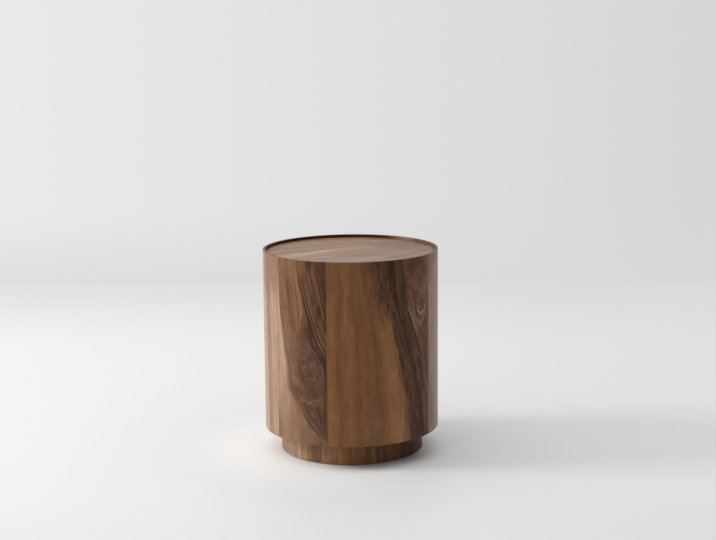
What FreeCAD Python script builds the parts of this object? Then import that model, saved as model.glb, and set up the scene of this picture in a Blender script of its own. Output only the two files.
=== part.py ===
"""Round drum side table: a veneered drum with a tray top, on a set-back plinth with screw levellers.

Millimetres, +Z up. The origin is on the floor, under the middle of the table. The front is towards -Y.
"""

import FreeCAD
import Part

import math
import os

# Overall sizes
drum_diameter = 450.0
table_height = 525.0
plinth_height = 60.0  # floor to the underside of the drum
plinth_setback = 41.0  # drum face to plinth face
tray_depth = 7.0  # rim above the table top
floor_gap = 2.5  # under the plinth wall with the levellers screwed home

# Veneer and lippings
veneer_thickness = 0.6
glue_line = 0.25  # room between curved glued faces
arris = 0.3  # sanded round on the exposed veneer edges
rim_lipping_height = 4.0
foot_lipping_height = 2.0
drum_leaf_shares = (0.1111, 0.2111, 0.1278, 0.1444, 0.1083, 0.1639, 0.1334)  # of the way round
drum_first_seam_angle = 214.6  # degrees from +X to the left edge of the first leaf
plinth_leaf_shares = (0.19, 0.14, 0.18, 0.16, 0.15, 0.18)
plinth_first_seam_angle = 232.0
top_leaf_shares = (0.23, 0.28, 0.26, 0.23)  # of the top's diameter, from the front

# Drum carcass
shell_thickness = 5.0
bottom_panel_thickness = 18.0
former_thickness = 18.0
former_ring_width = 42.0
post_width = 48.0
post_depth = 24.0
post_notch_gap = 0.3

# Table top
top_core_thickness = 18.0
top_fit_gap = 0.3  # between the edge of the top and the rim's inner band

# Dowels
dowel_diameter = 8.0
post_dowel_length = 28.0
top_dowel_length = 20.0
dowel_fit = 0.05
dowel_end_gap = 1.0

# Plinth
plinth_wall_thickness = 9.0
block_width = 64.0
block_depth = 46.0

# Block screws
screw_diameter = 5.0
screw_head_diameter = 10.0
screw_head_height = 3.0
screw_bite = 25.0  # length in the block
screw_tip_length = 4.0
screw_fit = 0.1
screw_offset = 21.0  # from the leveller, along the block

# Levellers
thread_diameter = 8.0
thread_pitch = 1.25
thread_fit = 0.05
leveller_travel = 12.0
thread_spare = 3.0  # stem above the tee nut at full travel
stem_point = 1.0  # chamfer on the stem's end
stem_bore_gap = 0.6
hexagon_width = 13.0  # across flats
hexagon_height = 4.0
stem_head_diameter = 13.0
stem_head_height = 3.0
stem_neck_diameter = 8.0
swivel_gap = 0.3
pad_diameter = 32.0
pad_top_diameter = 22.0
pad_height = 9.0
pad_rim_height = 3.0
pad_sole = 2.4  # under the stem's head
pad_edge_round = 1.0
tee_nut_flange_diameter = 22.0
tee_nut_flange_thickness = 1.5
tee_nut_wall = 0.9
tee_nut_barrel_length = 12.0
tee_nut_fit = 0.1

# Cutting tools run past the faces that they cut by this much
overrun = 1.0

FULL_TURN = 360.0
HALF_TURN = 180.0
RIGHT_ANGLE = 90.0
HEXAGON_SIDES = 6

# Sides of the table, as degrees from +X
SIDES = {"right": 0.0, "rear": 90.0, "left": 180.0, "front": 270.0}
DIAGONALS = (45.0, 135.0, 225.0, 315.0)

# Radii of the drum wall, from the outside in
drum_radius = drum_diameter / 2
shell_outer_radius = drum_radius - veneer_thickness - glue_line
shell_inner_radius = shell_outer_radius - shell_thickness
former_radius = shell_inner_radius - glue_line
band_outer_radius = shell_inner_radius - glue_line
band_inner_radius = band_outer_radius - veneer_thickness
top_radius = band_inner_radius - top_fit_gap
post_centre_radius = former_radius - post_depth / 2

# Heights of the drum, from the floor up
bottom_panel_top = plinth_height + bottom_panel_thickness
table_top_height = table_height - tray_depth
top_core_top = table_top_height - veneer_thickness
top_core_bottom = top_core_top - top_core_thickness
top_former_top = top_core_bottom - veneer_thickness
top_former_bottom = top_former_top - former_thickness
middle_former_centre = (bottom_panel_top + top_former_bottom) / 2

# Radii of the plinth, from the outside in
plinth_radius = drum_radius - plinth_setback
plinth_wall_outer_radius = plinth_radius - veneer_thickness - glue_line
plinth_wall_inner_radius = plinth_wall_outer_radius - plinth_wall_thickness
block_outer_radius = plinth_wall_inner_radius - glue_line
leveller_radius = block_outer_radius - block_depth / 2

# Heights of a leveller that is screwed home, from the floor up, and its tee nut's barrel
tee_nut_barrel_radius = thread_diameter / 2 + tee_nut_wall
hexagon_bottom = pad_height + swivel_gap
hexagon_top = hexagon_bottom + hexagon_height
block_bottom = hexagon_top + swivel_gap
tee_nut_barrel_top = block_bottom + tee_nut_flange_thickness + tee_nut_barrel_length
stem_top = tee_nut_barrel_top + leveller_travel + thread_spare
stem_head_bottom = pad_sole
stem_head_top = stem_head_bottom + stem_head_height

Z_AXIS = FreeCAD.Vector(0, 0, 1)
ORIGIN = FreeCAD.Vector(0, 0, 0)


def turned(shape, degrees):
    """The shape turned about the table's axis."""
    copy = shape.copy()
    copy.rotate(ORIGIN, Z_AXIS, degrees)
    return copy


def moved(shape, x=0.0, y=0.0, z=0.0):
    copy = shape.copy()
    copy.translate(FreeCAD.Vector(x, y, z))
    return copy


def revolved(outline, start=0.0, sweep=FULL_TURN):
    """A solid of revolution about +Z. The outline is (radius, height) or (radius, height, rounding) points."""
    face = Part.Face(rounded_wire(outline))
    face.rotate(ORIGIN, Z_AXIS, start)
    return face.revolve(ORIGIN, Z_AXIS, sweep)


def rounded_wire(outline):
    """A closed wire in the XZ plane through the points, with an arc at each point that has a rounding."""
    corners = [FreeCAD.Vector(point[0], 0, point[1]) for point in outline]
    roundings = [point[2] if len(point) > 2 else 0.0 for point in outline]
    count = len(corners)
    stretches = []
    arcs = []
    for i, corner in enumerate(corners):
        back = (corners[i - 1] - corner).normalize()
        ahead = (corners[(i + 1) % count] - corner).normalize()
        half_angle = back.getAngle(ahead) / 2
        reach = roundings[i] / math.tan(half_angle)
        enter, leave = corner + back * reach, corner + ahead * reach
        stretches.append((enter, leave))
        if roundings[i]:
            bisector = (back + ahead).normalize()
            middle = corner + bisector * (roundings[i] / math.sin(half_angle) - roundings[i])
            arcs.append(Part.Arc(enter, middle, leave).toShape())
        else:
            arcs.append(None)
    edges = []
    for i in range(count):
        if arcs[i]:
            edges.append(arcs[i])
        leave, enter = stretches[i][1], stretches[(i + 1) % count][0]
        if not leave.isEqual(enter, Part.Precision.confusion()):
            edges.append(Part.LineSegment(leave, enter).toShape())
    return Part.Wire(edges)


def sleeve(outer_radius, inner_radius, bottom, top, start=0.0, sweep=FULL_TURN):
    """A tube about the table's axis, or a part of one."""
    outline = [(inner_radius, bottom), (outer_radius, bottom), (outer_radius, top), (inner_radius, top)]
    return revolved(outline, start, sweep)


def upright_cylinder(radius, bottom, top, x=0.0, y=0.0):
    return Part.makeCylinder(radius, top - bottom, FreeCAD.Vector(x, y, bottom), Z_AXIS)


def upright_block(depth, width, bottom, top, outer_radius):
    """A block on the +X side whose outer face is curved to fit inside a wall of that radius."""
    inner_face = outer_radius - depth
    corner = FreeCAD.Vector(inner_face, -width / 2, bottom)
    block = Part.makeBox(depth, width, top - bottom, corner)
    return block.common(upright_cylinder(outer_radius, bottom, top))


def leaf_spans(shares, first_seam):
    """Start and sweep of each veneer leaf, in degrees."""
    spans = []
    start = first_seam
    for share in shares:
        sweep = share / sum(shares) * FULL_TURN
        spans.append((start, sweep))
        start += sweep
    return spans


# Drum carcass

def post_dowel_holes(centre_height):
    """Holes for the dowels at one end of the posts, centred on the joint's height."""
    half = post_dowel_length / 2 + dowel_end_gap / 2
    hole = upright_cylinder(
        dowel_diameter / 2 + dowel_fit, centre_height - half, centre_height + half, post_centre_radius
    )
    return [turned(hole, degrees) for degrees in SIDES.values()]


def top_dowel_holes():
    half = top_dowel_length / 2 + dowel_end_gap / 2
    hole = upright_cylinder(
        dowel_diameter / 2 + dowel_fit, top_former_top - half, top_former_top + half, post_centre_radius
    )
    return [turned(hole, degrees) for degrees in DIAGONALS]


def bottom_panel():
    panel = upright_cylinder(former_radius, plinth_height, bottom_panel_top)
    return panel.cut(post_dowel_holes(bottom_panel_top) + block_screw_holes())


def top_former_ring():
    inner = former_radius - former_ring_width
    ring = sleeve(former_radius, inner, top_former_bottom, top_former_top)
    return ring.cut(post_dowel_holes(top_former_bottom) + top_dowel_holes())


def middle_former_ring():
    half = former_thickness / 2
    bottom, top = middle_former_centre - half, middle_former_centre + half
    ring = sleeve(former_radius, former_radius - former_ring_width, bottom, top)
    notch = Part.makeBox(
        post_depth + post_notch_gap + overrun,
        post_width + 2 * post_notch_gap,
        former_thickness + 2 * overrun,
        FreeCAD.Vector(
            former_radius - post_depth - post_notch_gap,
            -post_width / 2 - post_notch_gap,
            bottom - overrun,
        ),
    )
    return ring.cut([turned(notch, degrees) for degrees in SIDES.values()])


def post(degrees):
    upright = upright_block(post_depth, post_width, bottom_panel_top, top_former_bottom, former_radius)
    upright = turned(upright, degrees)
    return upright.cut(post_dowel_holes(bottom_panel_top) + post_dowel_holes(top_former_bottom))


def dowel(length, centre_height, degrees):
    bottom = centre_height - length / 2
    peg = upright_cylinder(dowel_diameter / 2, bottom, bottom + length, post_centre_radius)
    return turned(peg, degrees)


def post_dowels():
    joints = (bottom_panel_top, top_former_bottom)
    return [dowel(post_dowel_length, joint, degrees) for degrees in SIDES.values() for joint in joints]


def drum_shell_half(start):
    bottom = plinth_height + foot_lipping_height
    top = table_height - rim_lipping_height
    return sleeve(shell_outer_radius, shell_inner_radius, bottom, top, start, HALF_TURN)


# Drum veneer and rim

def wall_leaf(radius, bottom, top, start, sweep):
    """One veneer leaf, bent round a wall, with its exposed edges eased."""
    inner = radius - veneer_thickness
    outline = [(inner, bottom), (radius, bottom, arris), (radius, top, arris), (inner, top)]
    return revolved(outline, start, sweep)


def rim_lipping():
    return sleeve(
        shell_outer_radius, shell_inner_radius, table_height - rim_lipping_height, table_height
    )


def rim_inner_band():
    """Veneer inside the rim. It runs down past the table top, to the ring that carries it."""
    return revolved([
        (band_inner_radius, top_former_top),
        (band_outer_radius, top_former_top),
        (band_outer_radius, table_height),
        (band_inner_radius, table_height, arris),
    ])


def drum_foot_lipping():
    return sleeve(
        shell_outer_radius, shell_inner_radius, plinth_height, plinth_height + foot_lipping_height
    )


# Table top

def top_panel_core():
    return upright_cylinder(top_radius, top_core_bottom, top_core_top).cut(top_dowel_holes())


def top_backing_veneer():
    return upright_cylinder(top_radius, top_former_top, top_core_bottom).cut(top_dowel_holes())


def top_leaves():
    """Strips of veneer across the table, from the front to the rear."""
    sheet = upright_cylinder(top_radius, top_core_top, table_top_height)
    diameter = 2 * top_radius
    leaves = []
    front_edge = -top_radius
    for share in top_leaf_shares:
        width = diameter * share / sum(top_leaf_shares)
        corner = FreeCAD.Vector(-top_radius, front_edge, top_core_top)
        leaves.append(sheet.common(Part.makeBox(diameter, width, veneer_thickness, corner)))
        front_edge += width
    return leaves


def top_locating_dowels():
    return [dowel(top_dowel_length, top_former_top, degrees) for degrees in DIAGONALS]


# Plinth

def plinth_wall_half(start):
    bottom = floor_gap + foot_lipping_height
    return sleeve(
        plinth_wall_outer_radius, plinth_wall_inner_radius, bottom, plinth_height, start, HALF_TURN
    )


def plinth_foot_lipping():
    return sleeve(
        plinth_wall_outer_radius, plinth_wall_inner_radius, floor_gap, floor_gap + foot_lipping_height
    )


def leveller_block(degrees):
    block = upright_block(block_depth, block_width, block_bottom, plinth_height, block_outer_radius)
    seat = revolved([
        (0, block_bottom - overrun),
        (tee_nut_flange_diameter / 2 + tee_nut_fit, block_bottom - overrun),
        (tee_nut_flange_diameter / 2 + tee_nut_fit, block_bottom + tee_nut_flange_thickness),
        (tee_nut_barrel_radius + tee_nut_fit, block_bottom + tee_nut_flange_thickness),
        (tee_nut_barrel_radius + tee_nut_fit, tee_nut_barrel_top),
        (thread_diameter / 2 + stem_bore_gap, tee_nut_barrel_top),
        (thread_diameter / 2 + stem_bore_gap, stem_top + stem_bore_gap),
        (0, stem_top + stem_bore_gap),
    ])
    block = turned(block.cut(moved(seat, leveller_radius)), degrees)
    return block.cut(block_screw_holes())


def screw_outline(growth):
    """Half a countersunk screw, point down, head flush with the bottom panel. Growth is a gap all round."""
    shank = screw_diameter / 2 + growth
    head = screw_head_diameter / 2 + growth
    point = plinth_height - screw_bite - growth
    return [
        (0, point),
        (shank, point + screw_tip_length),
        (shank, bottom_panel_top - screw_head_height),
        (head, bottom_panel_top),
        (0, bottom_panel_top),
    ]


def at_screw_places(shape):
    places = []
    for degrees in SIDES.values():
        for side in (-screw_offset, screw_offset):
            places.append(turned(moved(shape, leveller_radius, side), degrees))
    return places


def block_screws():
    return at_screw_places(revolved(screw_outline(0.0)))


def block_screw_holes():
    return at_screw_places(revolved(screw_outline(screw_fit)))


# Levellers

def tee_nuts():
    bore = thread_diameter / 2
    nut = revolved([
        (bore, block_bottom),
        (tee_nut_flange_diameter / 2, block_bottom),
        (tee_nut_flange_diameter / 2, block_bottom + tee_nut_flange_thickness),
        (tee_nut_barrel_radius, block_bottom + tee_nut_flange_thickness),
        (tee_nut_barrel_radius, tee_nut_barrel_top),
        (bore, tee_nut_barrel_top),
    ])
    return [turned(moved(nut, leveller_radius), degrees) for degrees in SIDES.values()]


def leveller_stem(degrees):
    """A threaded stem with a hexagon to turn it by and a head that swivels in the pad."""
    shank = thread_diameter / 2 - thread_fit
    neck = stem_neck_diameter / 2
    head = stem_head_diameter / 2
    spindle = revolved([
        (0, stem_head_bottom),
        (head, stem_head_bottom),
        (head, stem_head_top),
        (neck, stem_head_top),
        (neck, hexagon_top),
        (shank, hexagon_top),
        (shank, stem_top - stem_point),
        (shank - stem_point, stem_top),
        (0, stem_top),
    ])
    corner_radius = hexagon_width / 2 / math.cos(math.pi / HEXAGON_SIDES)
    corners = []
    for i in range(HEXAGON_SIDES + 1):
        angle = i * 2 * math.pi / HEXAGON_SIDES
        corner = (corner_radius * math.cos(angle), corner_radius * math.sin(angle), hexagon_bottom)
        corners.append(FreeCAD.Vector(*corner))
    hexagon = Part.Face(Part.makePolygon(corners)).extrude(Z_AXIS * hexagon_height)
    stem = spindle.fuse(hexagon).removeSplitter()
    return turned(moved(stem, leveller_radius), degrees)


def leveller_pad(degrees):
    """A moulded foot, closed round the stem's head."""
    neck = stem_neck_diameter / 2 + swivel_gap
    socket = stem_head_diameter / 2 + swivel_gap
    socket_top = stem_head_top + swivel_gap
    pad = revolved([
        (0, 0),
        (pad_diameter / 2, 0, pad_edge_round),
        (pad_diameter / 2, pad_rim_height),
        (pad_top_diameter / 2, pad_height, pad_edge_round),
        (neck, pad_height),
        (neck, socket_top),
        (socket, socket_top),
        (socket, pad_sole),
        (0, pad_sole),
    ])
    return turned(moved(pad, leveller_radius), degrees)


def all_nodes():
    """Every piece of the table by name. A group of like pieces is one node of separate solids."""
    nodes = {
        "bottom_panel": bottom_panel(),
        "middle_former_ring": middle_former_ring(),
        "top_former_ring": top_former_ring(),
        "post_dowels": Part.makeCompound(post_dowels()),
        "drum_shell_rear": drum_shell_half(SIDES["right"]),
        "drum_shell_front": drum_shell_half(SIDES["left"]),
        "rim_lipping": rim_lipping(),
        "rim_inner_band": rim_inner_band(),
        "drum_foot_lipping": drum_foot_lipping(),
        "top_panel_core": top_panel_core(),
        "top_backing_veneer": top_backing_veneer(),
        "top_locating_dowels": Part.makeCompound(top_locating_dowels()),
        "plinth_wall_rear": plinth_wall_half(SIDES["right"]),
        "plinth_wall_front": plinth_wall_half(SIDES["left"]),
        "plinth_foot_lipping": plinth_foot_lipping(),
        "block_screws": Part.makeCompound(block_screws()),
        "leveller_tee_nuts": Part.makeCompound(tee_nuts()),
    }
    for number, span in enumerate(leaf_spans(drum_leaf_shares, drum_first_seam_angle), start=1):
        nodes[f"drum_veneer_leaf_{number}"] = wall_leaf(drum_radius, plinth_height, table_height, *span)
    for number, span in enumerate(leaf_spans(plinth_leaf_shares, plinth_first_seam_angle), start=1):
        nodes[f"plinth_veneer_leaf_{number}"] = wall_leaf(plinth_radius, floor_gap, plinth_height, *span)
    for number, leaf in enumerate(top_leaves(), start=1):
        nodes[f"top_veneer_leaf_{number}"] = leaf
    for side, degrees in SIDES.items():
        nodes[f"post_{side}"] = post(degrees)
        nodes[f"leveller_block_{side}"] = leveller_block(degrees)
        nodes[f"leveller_stem_{side}"] = leveller_stem(degrees)
        nodes[f"leveller_pad_{side}"] = leveller_pad(degrees)
    return nodes


def main():
    os.makedirs("parts", exist_ok=True)
    for name, shape in all_nodes().items():
        shape.exportStep(os.path.join("parts", name + ".step"))
    print(f"leveller: {thread_pitch} mm of travel a turn, {leveller_travel / thread_pitch:.1f} turns in all")


main()
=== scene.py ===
import math

import bmesh
import bpy
from mathutils import Matrix, Vector


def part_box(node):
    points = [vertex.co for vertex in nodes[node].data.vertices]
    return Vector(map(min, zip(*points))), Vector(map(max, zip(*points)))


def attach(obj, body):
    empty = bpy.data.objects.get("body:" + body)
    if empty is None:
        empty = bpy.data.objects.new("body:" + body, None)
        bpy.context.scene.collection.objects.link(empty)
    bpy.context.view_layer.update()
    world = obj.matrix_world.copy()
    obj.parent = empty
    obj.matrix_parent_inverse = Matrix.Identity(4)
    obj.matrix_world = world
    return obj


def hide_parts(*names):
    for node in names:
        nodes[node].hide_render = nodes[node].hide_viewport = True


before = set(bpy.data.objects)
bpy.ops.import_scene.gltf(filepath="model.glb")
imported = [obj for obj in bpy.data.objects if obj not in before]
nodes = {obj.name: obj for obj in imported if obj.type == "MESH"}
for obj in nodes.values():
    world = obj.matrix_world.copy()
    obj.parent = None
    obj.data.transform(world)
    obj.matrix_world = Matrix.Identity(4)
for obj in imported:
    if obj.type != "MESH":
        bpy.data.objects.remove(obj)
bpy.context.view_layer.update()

scene = bpy.context.scene
mm = 0.001


# Shader wiring: numbers are set on sockets, sockets are linked
class Wiring:
    mostStops = 32  # in one colour ramp
    lineRoom = 1.0  # mm beside the outermost points of a drawn line

    def __init__(self, tree):
        self.tree = tree

    def add(self, kind, **settings):
        node = self.tree.nodes.new(kind)
        for name, value in settings.items():
            setattr(node, name, value)
        return node

    def plug(self, value, socket):
        if isinstance(value, bpy.types.NodeSocket):
            self.tree.links.new(value, socket)
        elif isinstance(value, (tuple, list)) and len(value) == 3 and socket.type == "RGBA":
            socket.default_value = (*value, 1.0)
        else:
            socket.default_value = value

    def fill(self, sockets, *values):
        for value, socket in zip(values, sockets):
            self.plug(value, socket)

    def place(self, group, **values):
        node = self.add("ShaderNodeGroup", node_tree=group)
        for name, value in values.items():
            self.plug(value, node.inputs[name])
        return node.outputs

    def split(self, vector):
        node = self.add("ShaderNodeSeparateXYZ")
        self.plug(vector, node.inputs[0])
        return node.outputs

    def here(self, kind="Object"):
        return self.split(self.add("ShaderNodeTexCoord").outputs[kind])

    def math(self, operation, *values):
        node = self.add("ShaderNodeMath", operation=operation)
        self.fill(node.inputs, *values)
        return node.outputs[0]

    def plus(self, first, second):
        return self.math("ADD", first, second)

    def minus(self, first, second):
        return self.math("SUBTRACT", first, second)

    def times(self, first, *others):
        for other in others:
            first = self.math("MULTIPLY", first, other)
        return first

    def square(self, x, y):
        return self.plus(self.times(x, x), self.times(y, y))

    def length(self, x, y):
        return self.math("SQRT", self.square(x, y))

    def apart(self, first, second):
        return self.math("ABSOLUTE", self.minus(first, second))

    def spread(self, value, low, high, start=0.0, end=1.0, kind="LINEAR"):
        node = self.add("ShaderNodeMapRange", interpolation_type=kind)
        self.fill(node.inputs, value, low, high, start, end)
        return node.outputs[0]

    def smooth(self, value, low, high, start=0.0, end=1.0):
        return self.spread(value, low, high, start, end, "SMOOTHSTEP")

    def noise(self, x, y, z, detail=3.0, roughness=0.5):
        point = self.add("ShaderNodeCombineXYZ")
        self.fill(point.inputs, x, y, z)
        node = self.add("ShaderNodeTexNoise", noise_dimensions="3D")
        self.plug(point.outputs[0], node.inputs["Vector"])
        for name, value in (("Scale", 1.0), ("Detail", detail), ("Roughness", roughness)):
            node.inputs[name].default_value = value
        return node.outputs[0]

    def swing(self, noise):
        # noise about nought, to both sides
        return self.minus(noise, 0.5)

    def ramp(self, value, stops):
        # a long row of tones is made in parts, one colour ramp each
        part, rest = stops[:self.mostStops], stops[self.mostStops - 1:]
        low, high = part[0][0], part[-1][0]
        node = self.add("ShaderNodeValToRGB")
        elements = node.color_ramp.elements
        while len(elements) < len(part):
            elements.new(0.5)
        for element, (place, tone) in zip(elements, part):
            element.position = (place - low) / (high - low)
            element.color = (*walnutTones[tone], 1.0)
        self.plug(self.spread(value, low * mm, high * mm), node.inputs[0])
        if len(rest) < 2:
            return node.outputs[0]
        past = self.math("GREATER_THAN", value, high * mm)
        return self.blend(past, node.outputs[0], self.ramp(value, rest))

    def drawn(self, along, points):
        # a line drawn up the leaf through (height, side) points in mm; gives its side at each height
        heights, sides = zip(*sorted(points))
        left, right = min(sides) - self.lineRoom, max(sides) + self.lineRoom
        node = self.add("ShaderNodeFloatCurve")
        curve = node.mapping.curves[0]
        while len(curve.points) < len(points):
            curve.points.new(0.5, 0.5)
        for point, height, side in zip(curve.points, heights, sides):
            rise = (height - heights[0]) / (heights[-1] - heights[0])
            point.location = (rise, (side - left) / (right - left))
            point.handle_type = "AUTO_CLAMPED"
        node.mapping.update()
        self.plug(self.spread(along, heights[0] * mm, heights[-1] * mm), node.inputs["Value"])
        return self.spread(node.outputs[0], 0.0, 1.0, left * mm, right * mm)

    def blend(self, share, first, second, mode="MIX"):
        node = self.add("ShaderNodeMix", data_type="RGBA", blend_type=mode)
        self.fill((node.inputs[0], node.inputs[6], node.inputs[7]), share, first, second)
        return node.outputs[2]

    def lerp(self, share, first, second):
        node = self.add("ShaderNodeMix", data_type="FLOAT")
        self.fill((node.inputs[0], node.inputs[2], node.inputs[3]), share, first, second)
        return node.outputs[0]

    def scaled(self, colour, amount):
        node = self.add("ShaderNodeVectorMath", operation="SCALE")
        self.fill((node.inputs[0], node.inputs["Scale"]), colour, amount)
        return node.outputs[0]

    def offset(self, across, along, place):
        # from the middle of a place (across, along, width, height) in mm, counted in its widths and heights
        u, v, width, height = (size * mm for size in place)
        return self.times(self.minus(across, u), 1 / width), self.times(self.minus(along, v), 1 / height)

    def spot(self, across, along, place):
        # soft round patch: 1 in the middle, 0 at its edge
        return self.smooth(self.square(*self.offset(across, along, place)), 0.0, 1.0, 1.0, 0.0)


colourSockets = ("Tone", "Line Tone", "Colour")


def newGroup(name, needs, makes):
    tree = bpy.data.node_groups.new(name, "ShaderNodeTree")
    for names, way in ((needs, "INPUT"), (makes, "OUTPUT")):
        for socketName in names:
            kind = "NodeSocketColor" if socketName in colourSockets else "NodeSocketFloat"
            tree.interface.new_socket(name=socketName, in_out=way, socket_type=kind)
    wiring = Wiring(tree)
    return wiring, wiring.add("NodeGroupInput").outputs, wiring.add("NodeGroupOutput").inputs


# Unrolls a round wall: Across runs round it from the front, Along runs up, both in metres
def buildUnroll():
    w, takes, gives = newGroup("unrollWall", ("Radius", "Middle"), ("Across", "Along"))
    x, y, z = w.here()
    cosine, sine = (w.math(wave, takes["Middle"]) for wave in ("COSINE", "SINE"))
    side = w.plus(w.times(x, cosine), w.times(y, sine))
    ahead = w.minus(w.times(x, sine), w.times(y, cosine))
    angle = w.plus(w.math("ARCTAN2", side, ahead), takes["Middle"])
    w.plug(w.times(angle, takes["Radius"]), gives["Across"])
    w.plug(z, gives["Along"])
    return w.tree


# Noise in the grain: scale across and along per metre, step of the seed, detail, roughness
grainNoise = {
    "wanderSlow": (9.0, 3.0, 0.0, 2.0, 0.5), "wanderQuick": (45.0, 11.0, 3.7, 2.0, 0.5),
    "featherWide": (130.0, 4.5, 61.0, 3.0, 0.6), "featherFine": (520.0, 12.0, 67.0, 2.0, 0.5),
    "slow": (62.0, 2.2, 0.0, 3.0, 0.55), "streak": (230.0, 10.0, 11.3, 5.0, 0.7),
    "mottle": (68.0, 26.0, 17.7, 4.0, 0.62), "hair": (640.0, 8.0, 29.3, 2.0, 0.6),
    "crowd": (34.0, 2.2, 23.1, 2.0, 0.5), "fibre": (1500.0, 26.0, 37.9, 3.0, 0.6),
    "dash": (2900.0, 105.0, 51.7, 1.0, 0.5), "timber": (24.0, 2.0, 0.0, 3.0, 0.5),
}


def grainy(w, kind, across, along, seed):
    wide, tall, step, detail, roughness = grainNoise[kind]
    return w.noise(w.times(across, wide), w.times(along, tall), w.plus(seed, step), detail, roughness)


# Pushes a value aside by broad and fine noise that runs with the grain
def buildPush(name, value, broad, fine, fineShare):
    w, takes, gives = newGroup(name, (value, "Along", "Seed", "Reach"), (value,))
    broadSwing, fineSwing = (
        w.swing(grainy(w, kind, takes[value], takes["Along"], takes["Seed"])) for kind in (broad, fine)
    )
    swing = w.plus(broadSwing, w.times(fineSwing, fineShare))
    w.plug(w.plus(takes[value], w.times(swing, takes["Reach"])), gives[value])
    return w.tree


depthNames = ("Band Depth", "Streak Depth", "Line Depth", "Pore Depth")
grainMix = {
    "linesPerMetre": 150.0, "crowding": 6.0, "lineRise": (0.45, 0.93), "lineFall": (1.0, 0.93),
    "pore": (0.585, 0.69), "poreInStreak": (0.34, 0.6, 0.35, 1.0), "fibreDepth": 0.34,
    "mottleShare": 0.65, "hairShare": 0.3,  # of the streaks' depth
    "hair": (0.56, 0.74), "darkest": 0.12,
    "tintChange": (0.3, 0.7), "warm": (1.03, 0.985, 0.93), "cool": (0.985, 1.0, 1.07),
    "roughness": 0.37, "poreRough": 0.16, "streakRough": 0.1, "poreRelief": 0.8, "lineRelief": 0.2,
}


# Fine walnut grain over a broad tone: slow bands, streaks, growth lines, fibre and open pores
def buildGrain():
    mix = grainMix
    needs = ("Tone", "Line Tone", "Rings", "Across", "Along", "Seed", *depthNames)
    w, takes, gives = newGroup("walnutGrain", needs, ("Colour", "Roughness", "Relief"))
    rings, across, along, seed = (takes[name] for name in ("Rings", "Across", "Along", "Seed"))
    bandDepth, streakDepth, lineDepth, poreDepth = (takes[name] for name in depthNames)
    slow, streak, mottle, hair, crowd = (
        grainy(w, kind, rings, along, seed) for kind in ("slow", "streak", "mottle", "hair", "crowd")
    )
    fibre, dash = (grainy(w, kind, across, along, seed) for kind in ("fibre", "dash"))
    phase = w.math("FRACT", w.plus(w.times(rings, mix["linesPerMetre"]), w.times(crowd, mix["crowding"])))
    line = w.times(w.smooth(phase, *mix["lineRise"]), w.smooth(phase, *mix["lineFall"]))
    pore = w.times(w.smooth(dash, *mix["pore"]), w.smooth(streak, *mix["poreInStreak"]))

    shade = w.plus(1.0, w.times(w.swing(slow), bandDepth))
    shade = w.plus(shade, w.times(w.swing(streak), streakDepth))
    shade = w.plus(shade, w.times(w.swing(mottle), w.times(streakDepth, mix["mottleShare"])))
    shade = w.minus(shade, w.times(w.smooth(hair, *mix["hair"]), w.times(streakDepth, mix["hairShare"])))
    shade = w.plus(shade, w.times(w.swing(fibre), mix["fibreDepth"]))
    shade = w.math("MAXIMUM", w.minus(shade, w.times(pore, poreDepth)), mix["darkest"])
    tint = w.blend(w.smooth(crowd, *mix["tintChange"]), mix["warm"], mix["cool"])
    lined = w.blend(w.times(line, lineDepth), takes["Tone"], takes["Line Tone"])
    w.plug(w.scaled(w.blend(1.0, lined, tint, "MULTIPLY"), shade), gives["Colour"])
    gloss = w.plus(w.times(pore, mix["poreRough"]), w.times(w.swing(streak), mix["streakRough"]))
    w.plug(w.plus(gloss, mix["roughness"]), gives["Roughness"])
    relief = w.plus(w.times(pore, mix["poreRelief"]), w.times(line, mix["lineRelief"]))
    w.plug(w.minus(1.0, relief), gives["Relief"])
    return w.tree


unrollWall = buildUnroll()
# Wander bends every line, feather ruffles the edges between tones
grainWander = buildPush("grainWander", "Across", "wanderSlow", "wanderQuick", fineShare=0.22)
grainFeather = buildPush("grainFeather", "Rings", "featherWide", "featherFine", fineShare=0.45)
walnutGrain = buildGrain()
print("shader groups ready")

# Walnut tones from sapwood to the darkest heart
walnutTones = {
    "sapwood": (0.465, 0.302, 0.197),
    "paleTan": (0.324, 0.198, 0.126),
    "gold": (0.296, 0.143, 0.056),
    "tan": (0.269, 0.13, 0.055),
    "honey": (0.22, 0.102, 0.042),
    "brown": (0.195, 0.087, 0.034),
    "redBrown": (0.166, 0.074, 0.031),
    "mauve": (0.184, 0.097, 0.055),
    "plum": (0.128, 0.058, 0.033),
    "chocolate": (0.084, 0.038, 0.021),
    "dark": (0.055, 0.024, 0.012),
    "ink": (0.029, 0.013, 0.005),
    "greyTan": (0.264, 0.163, 0.106),
    "olive": (0.082, 0.045, 0.018),
    "plumDark": (0.066, 0.033, 0.024),
    "rose": (0.141, 0.061, 0.039),
    "flame": (0.233, 0.124, 0.068),
    "cream": (0.409, 0.26, 0.169),
    "greyMauve": (0.181, 0.104, 0.072),
    "ash": (0.262, 0.184, 0.146),
}


# A row of tones, each its place in mm and its name
def stops(row):
    pairs = (stop.split() for stop in row.split(","))
    return [(float(place), tone) for place, tone in pairs]


def newMaterial(name):
    material = bpy.data.materials.new(name)
    material.use_nodes = True
    material.node_tree.nodes.clear()
    w = Wiring(material.node_tree)
    skin = w.add("ShaderNodeBsdfPrincipled")
    w.plug(skin.outputs[0], w.add("ShaderNodeOutputMaterial").inputs["Surface"])
    return material, w, skin


def addBump(w, skin, height, strength, distance):
    bump = w.add("ShaderNodeBump")
    bump.inputs["Strength"].default_value = strength
    bump.inputs["Distance"].default_value = distance
    w.plug(height, bump.inputs["Height"])
    w.plug(bump.outputs[0], skin.inputs["Normal"])


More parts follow.
